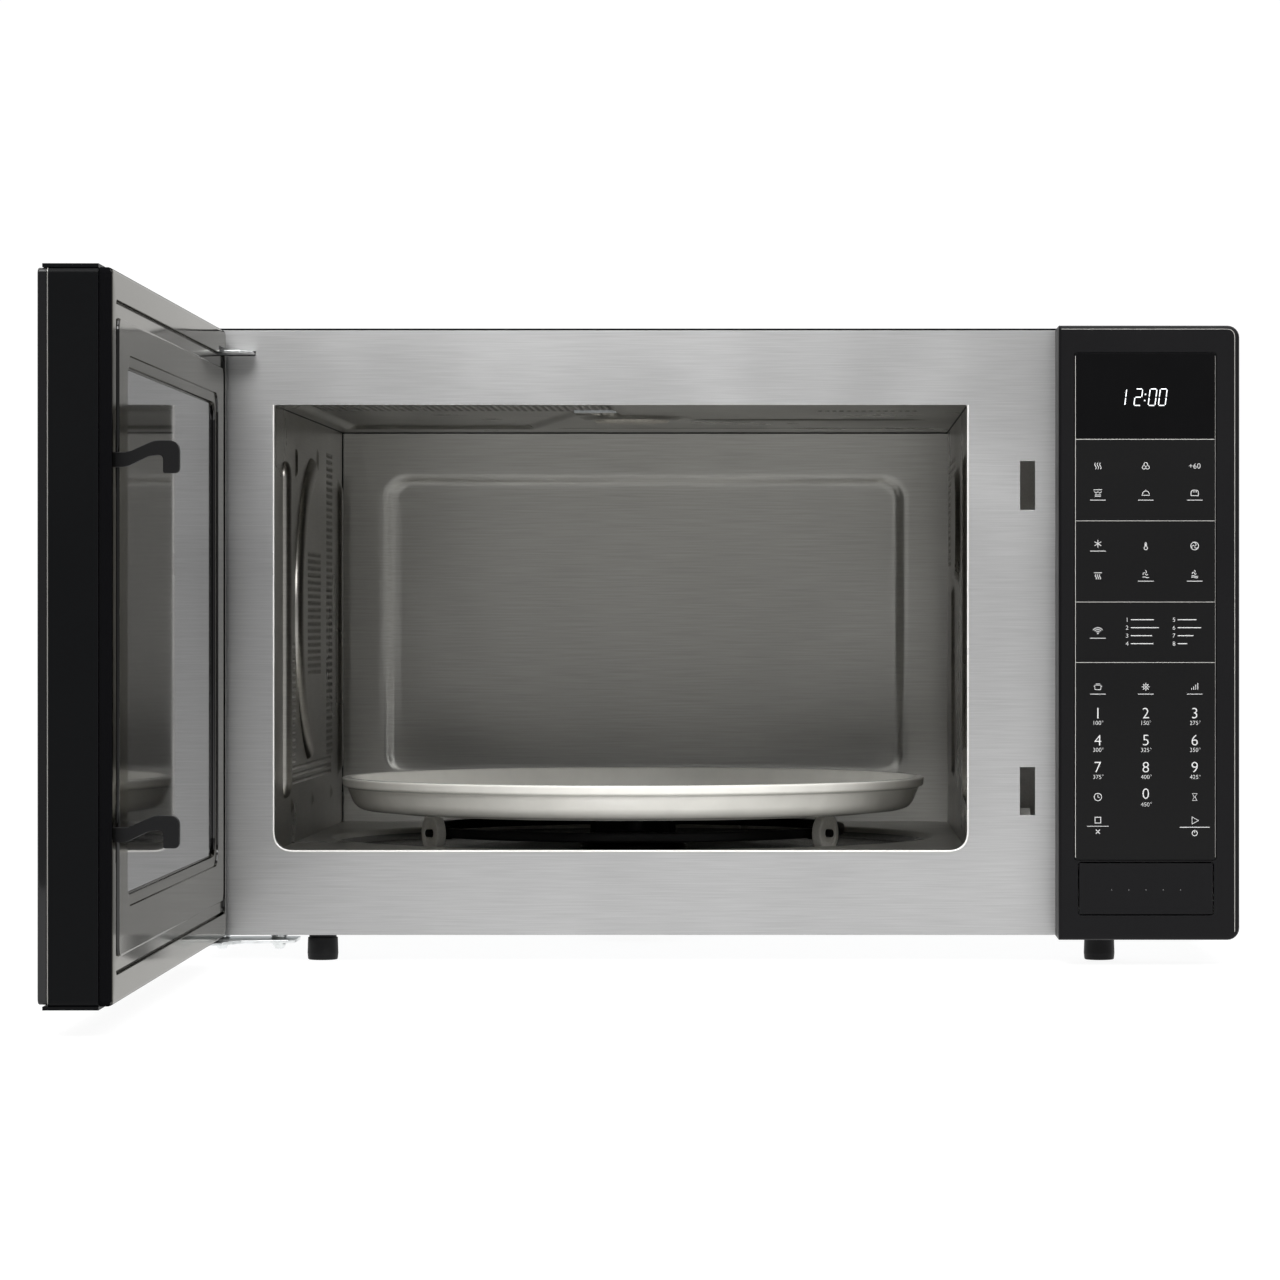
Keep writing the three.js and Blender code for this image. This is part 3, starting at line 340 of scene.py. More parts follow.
def lathe(profile, segments=96, centre=even(0), axis="z", ring=False):
    """(radius, height) pairs turned about an axis. A ring's profile closes on itself."""
    verts, rows = [], []
    for radius, height in profile:
        if radius < 1e-6:
            rows.append([len(verts)] * segments)
            verts.append((0.0, 0.0, height))
            continue
        rows.append(list(range(len(verts), len(verts) + segments)))
        for i in range(segments):
            angle = 2 * pi * i / segments
            verts.append((radius * cos(angle), radius * sin(angle), height))
    faces = []
    follows = list(zip(rows, rows[1:])) + ([(rows[-1], rows[0])] if ring else [])
    for low, high in follows:
        for i in range(segments):
            j = (i + 1) % segments
            face = list(dict.fromkeys((low[i], low[j], high[j], high[i])))
            if len(face) > 2:
                faces.append(tuple(face))
    turn = {"z": lambda p: p, "y": lambda p: (p[0], p[2], p[1]), "x": lambda p: (p[2], p[0], p[1])}[axis]
    return [tuple(a + b for a, b in zip(turn(v), centre)) for v in verts], faces


def directions(path, closed):
    """Each point of a path with the path's direction there."""
    count = len(path)
    for i, point in enumerate(path):
        ahead = path[(i + 1) % count] if closed or i < count - 1 else point
        behind = path[i - 1] if closed or i else point
        yield point, (ahead - behind).normalized()


def tube(points, radius, sides=8, closed=False):
    """A round bar along 3-D points."""
    loops = []
    for point, along in directions([Vector(p) for p in points], closed):
        side = along.cross(Vector((0, 1, 0) if abs(along.y) < 0.9 else (1, 0, 0))).normalized()
        up = side.cross(along)
        angles = [2 * pi * k / sides for k in range(sides)]
        loops.append([tuple(point + radius * (side * cos(a) + up * sin(a))) for a in angles])
    return loft(loops, cap=not closed)


def joined(*meshes):
    verts, faces = [], []
    for more_verts, more_faces in meshes:
        offset = len(verts)
        verts += list(more_verts)
        faces += [tuple(i + offset for i in face) for face in more_faces]
    return verts, faces


def linked(name, data):
    obj = bpy.data.objects.new(name, data)
    bpy.context.scene.collection.objects.link(obj)
    return obj


def boolean(obj, other, operation):
    step = obj.modifiers.new(operation.lower(), "BOOLEAN")
    step.operation, step.solver, step.object = operation, "EXACT", other


def reworked(mesh, *steps):
    """Runs each step on a bmesh of the mesh and writes it back."""
    work = bmesh.new()
    work.from_mesh(mesh)
    for step in steps:
        step(work)
    work.to_mesh(mesh)
    work.free()


def merged(distance):
    return lambda work: bmesh.ops.remove_doubles(work, verts=work.verts, dist=distance)


def outward(work):
    bmesh.ops.recalc_face_normals(work, faces=work.faces)


def apply_modifiers(obj):
    graph = bpy.context.evaluated_depsgraph_get()
    finished = bpy.data.meshes.new_from_object(obj.evaluated_get(graph))
    obj.modifiers.clear()
    obj.data = finished


def raw_object(name, mesh_data, space=BODY):
    verts, faces = mesh_data
    mesh = bpy.data.meshes.new(name)
    mesh.from_pydata([space @ Vector(v) for v in verts], [], faces)
    reworked(mesh, merged(1e-7), outward)
    return linked(name, mesh)


def finish_piece(obj, material, body, slot, replaces=(), bevel=0.0, segments=2, sharp=35, tools=()):
    """Cuts, rounds the edges, shades, paints and fastens one piece to its body."""
    for cutter in tools:
        boolean(obj, cutter, "DIFFERENCE")
    if bevel:
        rounding = obj.modifiers.new("round", "BEVEL")
        rounding.width, rounding.segments = bevel * MM, segments
        rounding.limit_method, rounding.angle_limit = "ANGLE", radians(sharp)
    obj.data.shade_smooth()
    if tools or bevel:
        apply_modifiers(obj)
    for cutter in tools:
        bpy.data.objects.remove(cutter)
    obj.data.set_sharp_from_angle(angle=radians(max(sharp, 50) if bevel else sharp))
    even = obj.modifiers.new("even", "WEIGHTED_NORMAL")
    even.keep_sharp, even.weight = True, 100
    apply_modifiers(obj)
    obj.data.materials.clear()
    for one in material if isinstance(material, (list, tuple)) else [material]:
        obj.data.materials.append(MAT[one] if isinstance(one, str) else one)
    if isinstance(body, str):
        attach(obj, body)
    else:
        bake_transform(obj)
    if replaces:
        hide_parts(*replaces)
    return obj


SLOT_OF = {row["node"]: row["material_slot"] for row in frame["record"]["subparts"]}


def build(cad_node, mesh_data, material, space=BODY, **options):
    """A piece that replaces a CAD node: it rides on the same body."""
    obj = raw_object(cad_node + "_finished", mesh_data, space)
    return finish_piece(obj, material, BODY_OF[cad_node], SLOT_OF[cad_node], (cad_node,), **options)


def detail(name, cad_node, mesh_data, material, space=BODY, **options):
    """A further piece that rides with a CAD node, beside what replaces it."""
    obj = raw_object(name, mesh_data, space)
    return finish_piece(obj, material, BODY_OF[cad_node], SLOT_OF[cad_node], **options)


def rounded_copy(cad_node, material, bevel=0.3, segments=2, sharp=30, body=None):
    """A copy of a CAD node whose flat faces are whole again and whose edges are rounded."""
    mesh = frame["nodes"][cad_node].data.copy()

    def flattened(work):
        flat = radians(0.6)
        bmesh.ops.dissolve_limit(work, angle_limit=flat, verts=work.verts, edges=work.edges)

    reworked(mesh, merged(2e-6), flattened, outward)
    obj = linked(cad_node + "_finished", mesh)
    body = body or BODY_OF[cad_node]
    return finish_piece(obj, material, body, SLOT_OF[cad_node], (cad_node,), bevel, segments, sharp)


def tool(mesh_data, space=BODY):
    return raw_object("tool", mesh_data, space)


def box_mesh(x0, x1, y0, y1, z0, z1):
    return slab([(x0, z0), (x1, z0), (x1, z1), (x0, z1)], y0, y1)


# ---- cavity sheets

CELL = 4.5  # lattice step, and so the distance between drilled holes
HOLE = 1.7  # radius of a drilled hole
SHEET = 0.8  # sheet thickness
SHEAR = 0.9  # open seam between two sheets


def smooth_step(value):
    t = min(1.0, max(0.0, value))
    return t * t * (3 - 2 * t)


def rect_distance(a, b, rect, corner):
    """Signed distance to a rounded rectangle: negative inside."""
    centre = ((rect[0] + rect[2]) / 2, (rect[1] + rect[3]) / 2)
    half = ((rect[2] - rect[0]) / 2 - corner, (rect[3] - rect[1]) / 2 - corner)
    da, db = abs(a - centre[0]) - half[0], abs(b - centre[1]) - half[1]
    return hypot(max(da, 0), max(db, 0)) + min(max(da, db), 0) - corner


def pressed(rect, corner, depth, slope):
    """A pressing with sloped sides: depth inside the rectangle, 0 outside."""
    return lambda a, b: depth * smooth_step(-rect_distance(a, b, rect, corner) / slope)


def polygon_distance(a, b, points):
    """Signed distance to a polygon: negative inside."""
    nearest, within = 1e9, False
    for (x0, y0), (x1, y1) in zip(points, points[1:] + points[:1]):
        ex, ey = x1 - x0, y1 - y0
        t = min(1, max(0, ((a - x0) * ex + (b - y0) * ey) / (ex * ex + ey * ey)))
        nearest = min(nearest, hypot(a - x0 - t * ex, b - y0 - t * ey))
        if (y0 > b) != (y1 > b) and a < x0 + (b - y0) * ex / ey:
            within = not within
    return -nearest if within else nearest


def pressed_sheet(a_range, b_range, presses, holes, place, cut_discs=()):
    """A sheet on a lattice: pressed areas follow their height, and hole areas are drilled cell by cell.

    holes are rectangles (a0, b0, a1, b1); place turns (a, b, height) into a point of the BODY frame.
    """
    (a0, a1), (b0, b1) = a_range, b_range
    na, nb = round((a1 - a0) / CELL), round((b1 - b0) / CELL)
    sa, sb = (a1 - a0) / na / 2, (b1 - b0) / nb / 2
    height = np.zeros((2 * na + 1, 2 * nb + 1))
    for i in range(2 * na + 1):
        for j in range(2 * nb + 1):
            a, b = a0 + i * sa, b0 + j * sb
            height[i, j] = sum(press(a, b) for press in presses)

    def kind(i, j):
        if not (0 <= i < na and 0 <= j < nb):
            return "flat"
        a, b = a0 + (2 * i + 1) * sa, b0 + (2 * j + 1) * sb
        if any(hypot(a - x, b - y) < r - CELL for x, y, r in cut_discs):
            return "none"
        if any(h[0] <= a <= h[2] and h[1] <= b <= h[3] for h in holes):
            return "hole"
        patch = height[2 * i:2 * i + 3, 2 * j:2 * j + 3]
        return "fine" if patch.max() - patch.min() > 0.01 else "flat"

    kinds = {(i, j): kind(i, j) for i in range(-1, na + 1) for j in range(-1, nb + 1)}
    verts, index, faces = [], {}, []

    def corner(i, j):
        if (i, j) not in index:
            index[i, j] = len(verts)
            verts.append(place(a0 + i * sa, b0 + j * sb, height[i, j]))
        return index[i, j]

    around = ((0, 0), (1, 0), (2, 0), (2, 1), (2, 2), (1, 2), (0, 2), (0, 1))
    beyond = {1: (0, -1), 3: (1, 0), 5: (0, 1), 7: (-1, 0)}
    for (i, j), what in kinds.items():
        if not (0 <= i < na and 0 <= j < nb) or what == "none":
            continue
        x, y = 2 * i, 2 * j
        if what == "fine":
            for dx, dy in ((0, 0), (1, 0), (1, 1), (0, 1)):
                px, py = x + dx, y + dy
                faces.append((corner(px, py), corner(px + 1, py), corner(px + 1, py + 1), corner(px, py + 1)))
        elif what == "hole":
            rim = []
            for dx, dy in around:
                angle = atan2(dy - 1, dx - 1)
                rim.append(len(verts))
                verts.append(place(a0 + (x + 1) * sa + HOLE * cos(angle),
                                   b0 + (y + 1) * sb + HOLE * sin(angle), height[x + 1, y + 1]))
            outside = [corner(x + dx, y + dy) for dx, dy in around]
            for k in range(8):
                after = (k + 1) % 8
                faces.append((outside[k], outside[after], rim[after], rim[k]))
        else:
            loop = []
            for k, (dx, dy) in enumerate(around):
                neighbour = beyond.get(k)
                if neighbour is None or kinds[i + neighbour[0], j + neighbour[1]] in ("fine", "hole"):
                    loop.append(corner(x + dx, y + dy))
            faces.append(tuple(loop))
    return verts, faces


def add_parts(obj, meshes):
    """Joins closed parts drawn in the BODY frame to a finished sheet."""
    for verts, faces in meshes:
        part = bpy.data.meshes.new("part")
        part.from_pydata([BODY @ Vector(v) for v in verts], [], faces)
        reworked(part, outward)
        reworked(obj.data, lambda work: work.from_mesh(part))


def thicken(obj, away):
    """Gives a sheet its thickness on the side away from the cavity."""
    normal = sum((polygon.normal * polygon.area for polygon in obj.data.polygons), Vector())
    if normal.dot(Vector(away)) > 0:
        obj.data.flip_normals()
    solid = obj.modifiers.new("thickness", "SOLIDIFY")
    solid.thickness, solid.offset = SHEET * MM, -1.0
    apply_modifiers(obj)


def cavity_sheet(cad_node, mesh_data, material, away, sharp=40, more=()):
    obj = raw_object(cad_node + "_finished", mesh_data)
    thicken(obj, away)
    if more:
        add_parts(obj, more)
    return finish_piece(obj, material, BODY_OF[cad_node], SLOT_OF[cad_node], (cad_node,), sharp=sharp)


FAN = (235.0, 209.0)  # axis of the convection fan, as y and z on the left wall


def rib(path, half, height, place):
    """A closed half-round rib with rounded ends, standing on a wall along a path drawn in the wall's plane."""
    points = [Vector(p) for p in path]
    marks = [0.0]
    for a, b in zip(points, points[1:]):
        marks.append(marks[-1] + (b - a).length)
    total = marks[-1]
    ends = [half * (1 - cos(radians(a))) for a in (12, 30, 48, 66, 90)]
    stops = sorted(ends + [total - e for e in ends] + [m for m in marks if half < m < total - half])
    sections = []
    for stop in stops:
        k = next(i for i in range(1, len(marks)) if marks[i] >= stop or i == len(marks) - 1)
        along = (points[k] - points[k - 1]).normalized()
        centre = points[k - 1] + along * (stop - marks[k - 1])
        across = Vector((-along.y, along.x))
        size = sqrt(1 - (1 - min(stop, total - stop, half) / half) ** 2)
        arch = [(size * half * cos(a), size * height * sin(a)) for a in
                (pi * i / 10 for i in range(11))]
        arch += [(-size * half, -0.3), (size * half, -0.3)]
        sections.append([place(*(centre + across * off), rise) for off, rise in arch])
    return loft(sections)


def left_wall():
    lo, hi = extent("cavity_left_wall")
    notches = ((98, 84.5, 93.5), (219, 84.5, 93.5), (339, 84.5, 93.5), (123, 293, 311), (252, 300, 315))
    presses = [pressed((384, 98, 402, 300), 9, 3.0, 7)]
    presses += [pressed((y, bottom, y + 6, top), 2.5, 1.2, 2.5) for y, bottom, top in notches]
    holes = [
        (FAN[0] - 39, FAN[1] - 40, FAN[0] + 39, FAN[1] + 40),
        (312, 116, 354, 314),
        (100, 99, 345, 114),
        (84, 114, 122, 190),
    ]
    place = lambda y, z, h: (hi.x + h, y, z)
    bow = [radians(a) for a in range(-72, 85, 6)]
    arch = [(FAN[0] - (95 + 9 * cos(a)) * cos(a), FAN[1] + (90 + 4 * cos(a)) * sin(a))
            for a in bow]
    straight = [(63, z) for z in (95, 150, 200, 250, 301)]
    ribs = [rib(path, 10, 4.5, place) for path in (straight, arch)]
    sheet = pressed_sheet((lo.y, hi.y), (lo.z, hi.z), presses, holes, place)
    cavity_sheet("cavity_left_wall", sheet, "cavity_side", (-1, 0, 0), more=ribs)


def right_wall():
    lo, hi = extent("cavity_right_wall")
    presses = [
        pressed((151, 227, 256, 301), 30, 3.0, 4.6),
        pressed((267, 101, 361, 227), 8, 2.0, 4.6),
        pressed((28, 92, 46, 306), 9, 2.4, 7),
    ]
    holes = [(250, 241, 402, 313)]
    sheet = pressed_sheet((lo.y, hi.y), (lo.z, hi.z), presses, holes, lambda y, z, h: (lo.x - h, y, z))
    cavity_sheet("cavity_right_wall", sheet, "cavity_side", (1, 0, 0))


def ceiling():
    lo, hi = extent("cavity_ceiling")
    cover_lo, cover_hi = extent("waveguide_cover")
    cover = (cover_lo + cover_hi) / 2
    duct = [(-252, 4), (-58, 4), (-58, 142), (-86, 150), (-126, 368), (-252, 368)]
    presses = [
        lambda x, y: 2.6 * smooth_step(-polygon_distance(x, y, duct) / 6),
        pressed((-18, 200, 134, 228), 13, 2.4, 7),
        pressed((-110, 343, 140, 353), 4, 1.4, 4),
        lambda x, y: -2.2 * smooth_step((34 - hypot(x - cover.x, y - cover.y)) / 6),
    ]
    holes = [(-245, 8, -62, 146), (63, 80, 128, 90)]
    sheet = pressed_sheet((lo.x + 0.6, hi.x - 0.6), (lo.y, hi.y), presses, holes,
                          lambda x, y, h: (x, y, lo.z + h), cut_discs=[(cover.x, cover.y, 22)])
    cavity_sheet("cavity_ceiling", sheet, "cavity", (0, 0, 1))
    left, right = extent("cavity_left_wall")[1].x, extent("cavity_right_wall")[0].x
    back, floor = extent("cavity_back_wall")[0].y, extent("cavity_floor")[1].z
    corner = (left, back, lo.z)
    # Thin near-black tubes along the cavity's inside corners: painted shade for the shadow in the seams between
    # the sheets.
    seam_shadows = [tube(ends, radius, 6) for ends, radius in (
        ([(left, lo.y, lo.z), corner], 0.6), ([(right, lo.y, lo.z), (right, back, lo.z)], 0.6),
        ([corner, (right, back, lo.z)], 0.7), ([(left, back, floor + 20), corner], 0.6),
    )]
    detail("cavity_seam_shadows", "cavity_ceiling", joined(*seam_shadows), "rubber", sharp=80)
    dome = fillet([(0, -2.6), (22, -2.6), (25.2, -0.4), (25.2, 0.8), (0, 0.8)], [0, 2, 1, 0.2, 0], closed=False)
    build("waveguide_cover", lathe(dome, 64, (cover.x, cover.y, cover_lo.z + 1.4)), "mica", sharp=50)


def back_wall():
    lo, hi = extent("cavity_back_wall")
    margin = 29
    panel = (lo.x + margin, lo.z + margin, hi.x - margin, hi.z - margin)
    press = pressed(panel, 18, 2.6, 9)
    left, top = extent("cavity_left_wall")[1].x + SHEAR, extent("cavity_ceiling")[0].z - SHEAR
    sheet = pressed_sheet((left, hi.x), (lo.z, top), [press], [], lambda x, z, h: (x, lo.y + h, z))
    cavity_sheet("cavity_back_wall", sheet, "cavity_back", (0, 1, 0), sharp=60)


def cavity_floor():
    lo, hi = extent("cavity_floor")
    tray_lo, tray_hi = extent("turntable_tray")
    cx, cy = (tray_lo.x + tray_hi.x) / 2, (tray_lo.y + tray_hi.y) / 2
    radius, depth, shaft = 191.0, 7.5, 8.0
    profile = [(shaft, -depth), (40, -depth), (120, -depth), (radius - 7, -depth), (radius - 4, -depth + 0.9),
               (radius - 1.5, -depth + 4), (radius, -1.2), (radius + 1.0, -0.3), (radius + 2.6, 0)]
    corners = [atan2(y - cy, x - cx) % (2 * pi) for x in (lo.x, hi.x) for y in (lo.y, hi.y)]
    steps = 120
    angles = sorted(set(corners) | {2 * pi * i / steps for i in range(steps)})
    rows = [[(cx + r * cos(a), cy + r * sin(a), hi.z + h) for a in angles] for r, h in profile]
    edge = []
    for angle in angles:
        dx, dy = cos(angle), sin(angle)
        reach_x = ((hi.x if dx > 0 else lo.x) - cx) / dx if abs(dx) > 1e-9 else 1e9
        reach_y = ((hi.y if dy > 0 else lo.y) - cy) / dy if abs(dy) > 1e-9 else 1e9
        reach = min(reach_x, reach_y)
        edge.append((cx + dx * reach, cy + dy * reach, hi.z))
    rows.append(edge)
    verts, faces = loft(rows)
    obj = raw_object("cavity_floor_finished", (verts, faces[:-2]))
    thicken(obj, (0, 0, -1))
    finish_piece(obj, ("cavity", "recess_shade"), BODY_OF["cavity_floor"], SLOT_OF["cavity_floor"], ("cavity_floor",),
                 sharp=40)
    # Faces inside the recess take the dark second finish: painted shade under the tray.
    centre = BODY @ Vector((cx, cy, 0))
    for polygon in obj.data.polygons:
        away = polygon.center - centre
        if hypot(away.x, away.y) < (radius - 1) * MM:
            polygon.material_index = 1


# ---- turntable

def turntable():
    lo, hi = extent("turntable_tray")
    cx, cy, radius = (lo.x + hi.x) / 2, (lo.y + hi.y) / 2, (hi.x - lo.x) / 2
    rim, under = hi.z, 82.7
    outside = fillet([
        (radius - 46, under), (radius - 40, under - 0.9), (radius - 30, under - 0.9), (radius - 27, under + 0.2),
        (radius - 9.0, under + 0.8), (radius - 3.2, rim - 6.6), (radius - 0.4, rim - 5.6), (radius, rim),
    ], [0, 2, 2, 4, 11, 1.5, 2.0, 2.2], steps=7, closed=False)[:-1]
    lip = fillet([(radius, rim - 3), (radius, rim), (radius - 6.2, rim), (radius - 11, under + 7)],
                 [0, 2.2, 2.0, 0], steps=7, closed=False)
    well = under + 4.4
    inside = fillet([(radius - 11, under + 7), (radius - 12, well), (radius - 30, well), (0, well)],
                    [0, 9, 0, 0], steps=8, closed=False)
    profile = [(0, under)] + outside + lip[1:] + inside[1:]
    dish = lathe(profile, 160, (cx, cy, 0))
    lugs = []
    for heading in (30, 150, 270):
        x, y = cx + 22 * cos(radians(heading)), cy + 22 * sin(radians(heading))
        lug = fillet([(0, lo.z), (4, lo.z), (4.6, under + 1), (0, under + 1)], [0, 1.2, 0, 0], closed=False)
        lugs.append(lathe(lug, 24, (x, y, 0)))
    build("turntable_tray", joined(dish, *lugs), "ceramic", sharp=50)


def wheel_frame(heading, centre):
    turn = Matrix.Rotation(radians(heading), 4, "Z")
    return Matrix.Translation(centre) @ turn


def roller_parts():
    lo, hi = extent("turntable_tray")
    ring_lo, ring_hi = extent("roller_ring")
    cx, cy, cz = (lo.x + hi.x) / 2, (lo.y + hi.y) / 2, (ring_lo.z + ring_hi.z) / 2
    pitch, width, radius, bore = 141.5, 6.4, 11.8, 2.95
    tyre = fillet([
        (bore, -width / 2), (radius, -width / 2), (radius, width / 2), (8.6, width / 2), (8.0, width / 2 - 0.9),
        (5.6, width / 2 - 0.9), (5.0, width / 2 - 1.4), (bore, width / 2 - 1.4),
    ], [0.3, 1.1, 1.1, 0.4, 0.4, 0.3, 0.3, 0.2], steps=4)
    angles = [degrees(atan2(*(JOINTS[f"wheel_{i}_spin"]["axis"][1::-1]))) for i in (1, 2, 3)]
    for i, heading in enumerate(angles, 1):
        verts, faces = lathe(tyre, 64, (pitch, 0, 0), "x", ring=True)
        place = wheel_frame(heading, Vector((cx, cy, cz)))
        build(f"roller_{i}", ([place @ Vector(v) for v in verts], faces), "nylon", sharp=50)

    hoop = fillet([(128, -3), (135, -3), (135, 3), (128, 3)], 1.6, steps=4)
    parts = [lathe(hoop, 128, (cx, cy, cz), ring=True)]
    for heading in angles:
        place = wheel_frame(heading, Vector((cx, cy, cz)))
        end = pitch + width / 2 + 1.8
        stub = fillet([(0, 130), (4.2, 130), (4.2, pitch - width / 2 - 0.3), (2.5, pitch - width / 2 - 0.3),
                       (2.5, end), (0, end)], [0, 0, 0.5, 0, 0.8, 0], closed=False)
        verts, faces = lathe(stub, 24, axis="x")
        parts.append(([place @ Vector(v) for v in verts], faces))
    build("roller_ring", joined(*parts), "plastic", sharp=50)


# ---- door

WINDOW = (43.0, 67.0, 442.0, 330.0)
SEAL = (0.0, 30.0, 493.0, 361.0)
RAISED = (8.0, 38.0, 480.0, 353.0)
HOOK = {"u": 488.6, "width": 4.8, "tip": 46.0, "heights": (279.0, 95.0)}


def door_loop(rect, corner, depth):
    return [(u, depth, z) for u, z in rounded_rect(rect, corner)]


def hinge_pocket():
    """The room that the hinge plate needs in the cover as the door swings: a disc, cut flat at the front."""
    reach, front = 35.6, -10.4
    plate_top = extent("upper_hinge_plate")[1].z
    outline = [(x, max(y, front)) for x, y in arc(0, 0, reach, 0, 360, 48)[:-1]]
    return tool(slab(outline, plate_top - 3.0, plate_top + 1.4, "z"), DOOR)


def choke_cover():
    lo, hi = extent("choke_cover", DOOR)
    outer = (lo.x, lo.z, hi.x, hi.z)
    back, face = lo.y, hi.y
    field = face - 1.4
    steps = [
        (outer, 3.0, back), (outer, 3.0, face - 2.4), (inset(outer, 0.35), 3.0, face - 1.3),
        (inset(outer, 1.1), 3.0, face - 0.4), (inset(outer, 2.3), 3.0, face),
        (inset(SEAL, -0.4), 4.3, face), (inset(SEAL, -0.1), 4.1, face - 0.25), (inset(SEAL, 0), 4.0, field - 1.4),
        (inset(SEAL, 0.8), 4.0, field - 1.4), (inset(SEAL, 0.9), 4.0, field - 0.2), (inset(SEAL, 1.2), 4.0, field),
        (inset(RAISED, -0.8), 7.0, field), (inset(RAISED, -0.4), 7.0, field + 0.15),
        (inset(RAISED, 0.0), 6.5, face - 0.4), (inset(RAISED, 0.4), 6.0, face - 0.08),
        (inset(RAISED, 1.0), 6.0, face),
        (inset(WINDOW, -6.6), 12.0, face), (inset(WINDOW, -6.4), 12.0, face - 0.9),
        (inset(WINDOW, -5.6), 12.0, face - 0.8), (inset(WINDOW, -1.5), 11.0, face - 1.15),
        (inset(WINDOW, -1.0), 10.6, face - 1.3), (inset(WINDOW, -0.5), 10.3, face - 2.2),
        (WINDOW, 10.0, face - 2.6), (inset(WINDOW, -6.0), 12.0, face - 2.6),
        (inset(WINDOW, -6.4), 12.0, back),
    ]
    verts, faces = loft([door_loop(rect, corner, depth) for rect, corner, depth in steps], cap=False)
    u, edge_band = HOOK["u"], 1.3
    slots = [tool(box_mesh(u - 1.4, u + 6.4, 0, 20, z - 10, z + 18), DOOR) for z in HOOK["heights"]]
    cover = build(
        "choke_cover", (verts, faces), ("choke", "matt_black"), DOOR, tools=slots + [hinge_pocket()],
        sharp=28
    )
    back_to_door = DOOR.inverted()
    for polygon in cover.data.polygons:
        place = back_to_door @ polygon.center
        if min(place.x - lo.x, hi.x - place.x, place.z - lo.z, hi.z - place.z) < edge_band:
            polygon.material_index = 1


def door_glass():
    lo, hi = extent("door_front_glass", DOOR)
    rect = (lo.x, lo.z, hi.x, hi.z)
    steps = [(inset(rect, 0.5), 2.2, hi.y), (rect, 2.5, hi.y - 0.5), (rect, 2.5, lo.y + 0.9),
             (inset(rect, 0.3), 2.4, lo.y + 0.3), (inset(rect, 0.9), 2.2, lo.y)]
    mesh_data = loft([door_loop(*step) for step in steps])
    glass = printed_glass("printed_glass", WINDOW, 1.7, 0.55)
    build("door_front_glass", mesh_data, glass, DOOR, sharp=50)
    trim = [(inset(rect, by), corner, hi.y + proud) for by, corner, proud in (
        (0, 2.5, 0.1), (-0.3, 2.8, 0.2), (-0.3, 2.8, 0.6), (0.2, 2.2, 0.7), (1.2, 2.0, 0.7), (1.2, 2.0, 0.1),
    )]
    detail(
        "glass_trim", "door_front_glass", loft([door_loop(*step) for step in trim], cap=False), "trim",
        DOOR, sharp=30
    )


def latch_head():
    lo, hi = extent("latch_head", DOOR)
    u, width, tip = HOOK["u"], HOOK["width"], HOOK["tip"]
    shapes = []
    for z in HOOK["heights"]:
        points = [(v, z + rise) for v, rise in (
            (-9, 0), (20, 0), (31, 5.4), (38, 6.2), (38, -3.0), (tip, -3.0), (tip, 13.2), (34, 13.2),
            (21, 7.4), (-9, 7),
        )]
        radii = [0, 12, 9, 2.6, 1.2, 2.8, 5.5, 12, 12, 0]
        shapes.append(slab(fillet(points, radii, steps=7), u, u + width, "x"))
    spine = box_mesh(u - 2, u + width + 2, -10, -3.6, lo.z - 0.6, HOOK["heights"][0] + 14)
    peg = lathe([(0, HOOK["heights"][0] + 13), (1.6, HOOK["heights"][0] + 13), (1.6, hi.z), (0, hi.z)], 16,
                (u + width / 2, -6.8, 0))
    obj = raw_object("latch_head_finished", spine, DOOR)
    for part in shapes + [peg]:
        other = raw_object("joining", part, DOOR)
        boolean(obj, other, "UNION")
        apply_modifiers(obj)
        bpy.data.objects.remove(other)
    finish_piece(obj, "plastic", BODY_OF["latch_head"], SLOT_OF["latch_head"], ("latch_head",), bevel=0.6,
                 segments=3, sharp=40)


def door():
    door_glass()
    choke_cover()
    latch_head()
    rounded_copy("door_outer_panel", "black_paint", bevel=0.35)
    rounded_copy("door_inner_window", "gloss", bevel=0.3)


# ---- control panel

def panel_loop(rect, corner, depth):
    return [(x, depth, z) for x, z in rounded_rect(rect, corner)]


def control_panel():
    lo, hi = extent("control_panel")
    rect, front = (lo.x, lo.z, hi.x, hi.z), lo.y
    pads_lo, _ = extent("keypad_membrane")
    _, pads_hi = extent("display_window")
    key_lo, key_hi = extent("release_button")
    corner, edge = (0.6, 7.0, 7.0, 0.6), 2.6

    def shrunk(by):
        return [max(0.1, radius - by * 0.6) for radius in corner]

    steps = [(rect, corner, hi.y), (rect, corner, front + edge)]
    for heading in (22.5, 45, 67.5, 90):
        angle = radians(heading)
        by = edge * (1 - cos(angle))
        steps.append((inset(rect, by), shrunk(by), front + edge * (1 - sin(angle))))
    hollow = rounded_rect(inset(rect, 2.5), 3.0)
    pads = rounded_rect(inset((pads_lo.x, pads_lo.z, pads_hi.x, pads_hi.z), -0.35), 1.8)
    key = rounded_rect(inset((key_lo.x, key_lo.z, key_hi.x, key_hi.z), -0.7), 2.2)
    tools = [tool(slab(outline, start, end)) for outline, start, end in (
        (hollow, front + 2.5, hi.y + 2), (pads, front - 2, front + 1.3), (key, front - 2, front + 4),
    )]
    build(
        "control_panel", loft([panel_loop(*step) for step in steps]), "panel", tools=tools, bevel=0.32,
        sharp=40
    )
    # A thin silvery line just inside the panel's top and right edges: a painted highlight where the rounded edge
    # catches the light.
    top, side = hi.z - 2.2, hi.x - 2.9
    line = fillet([(lo.x + 1.5, top), (side, top), (side, lo.z + 5)], [0, 5, 0], 10, False)
    detail("panel_edge_glint", "control_panel", print_mesh([ribbon(line, 0.28)], front), "silver_line", sharp=30)


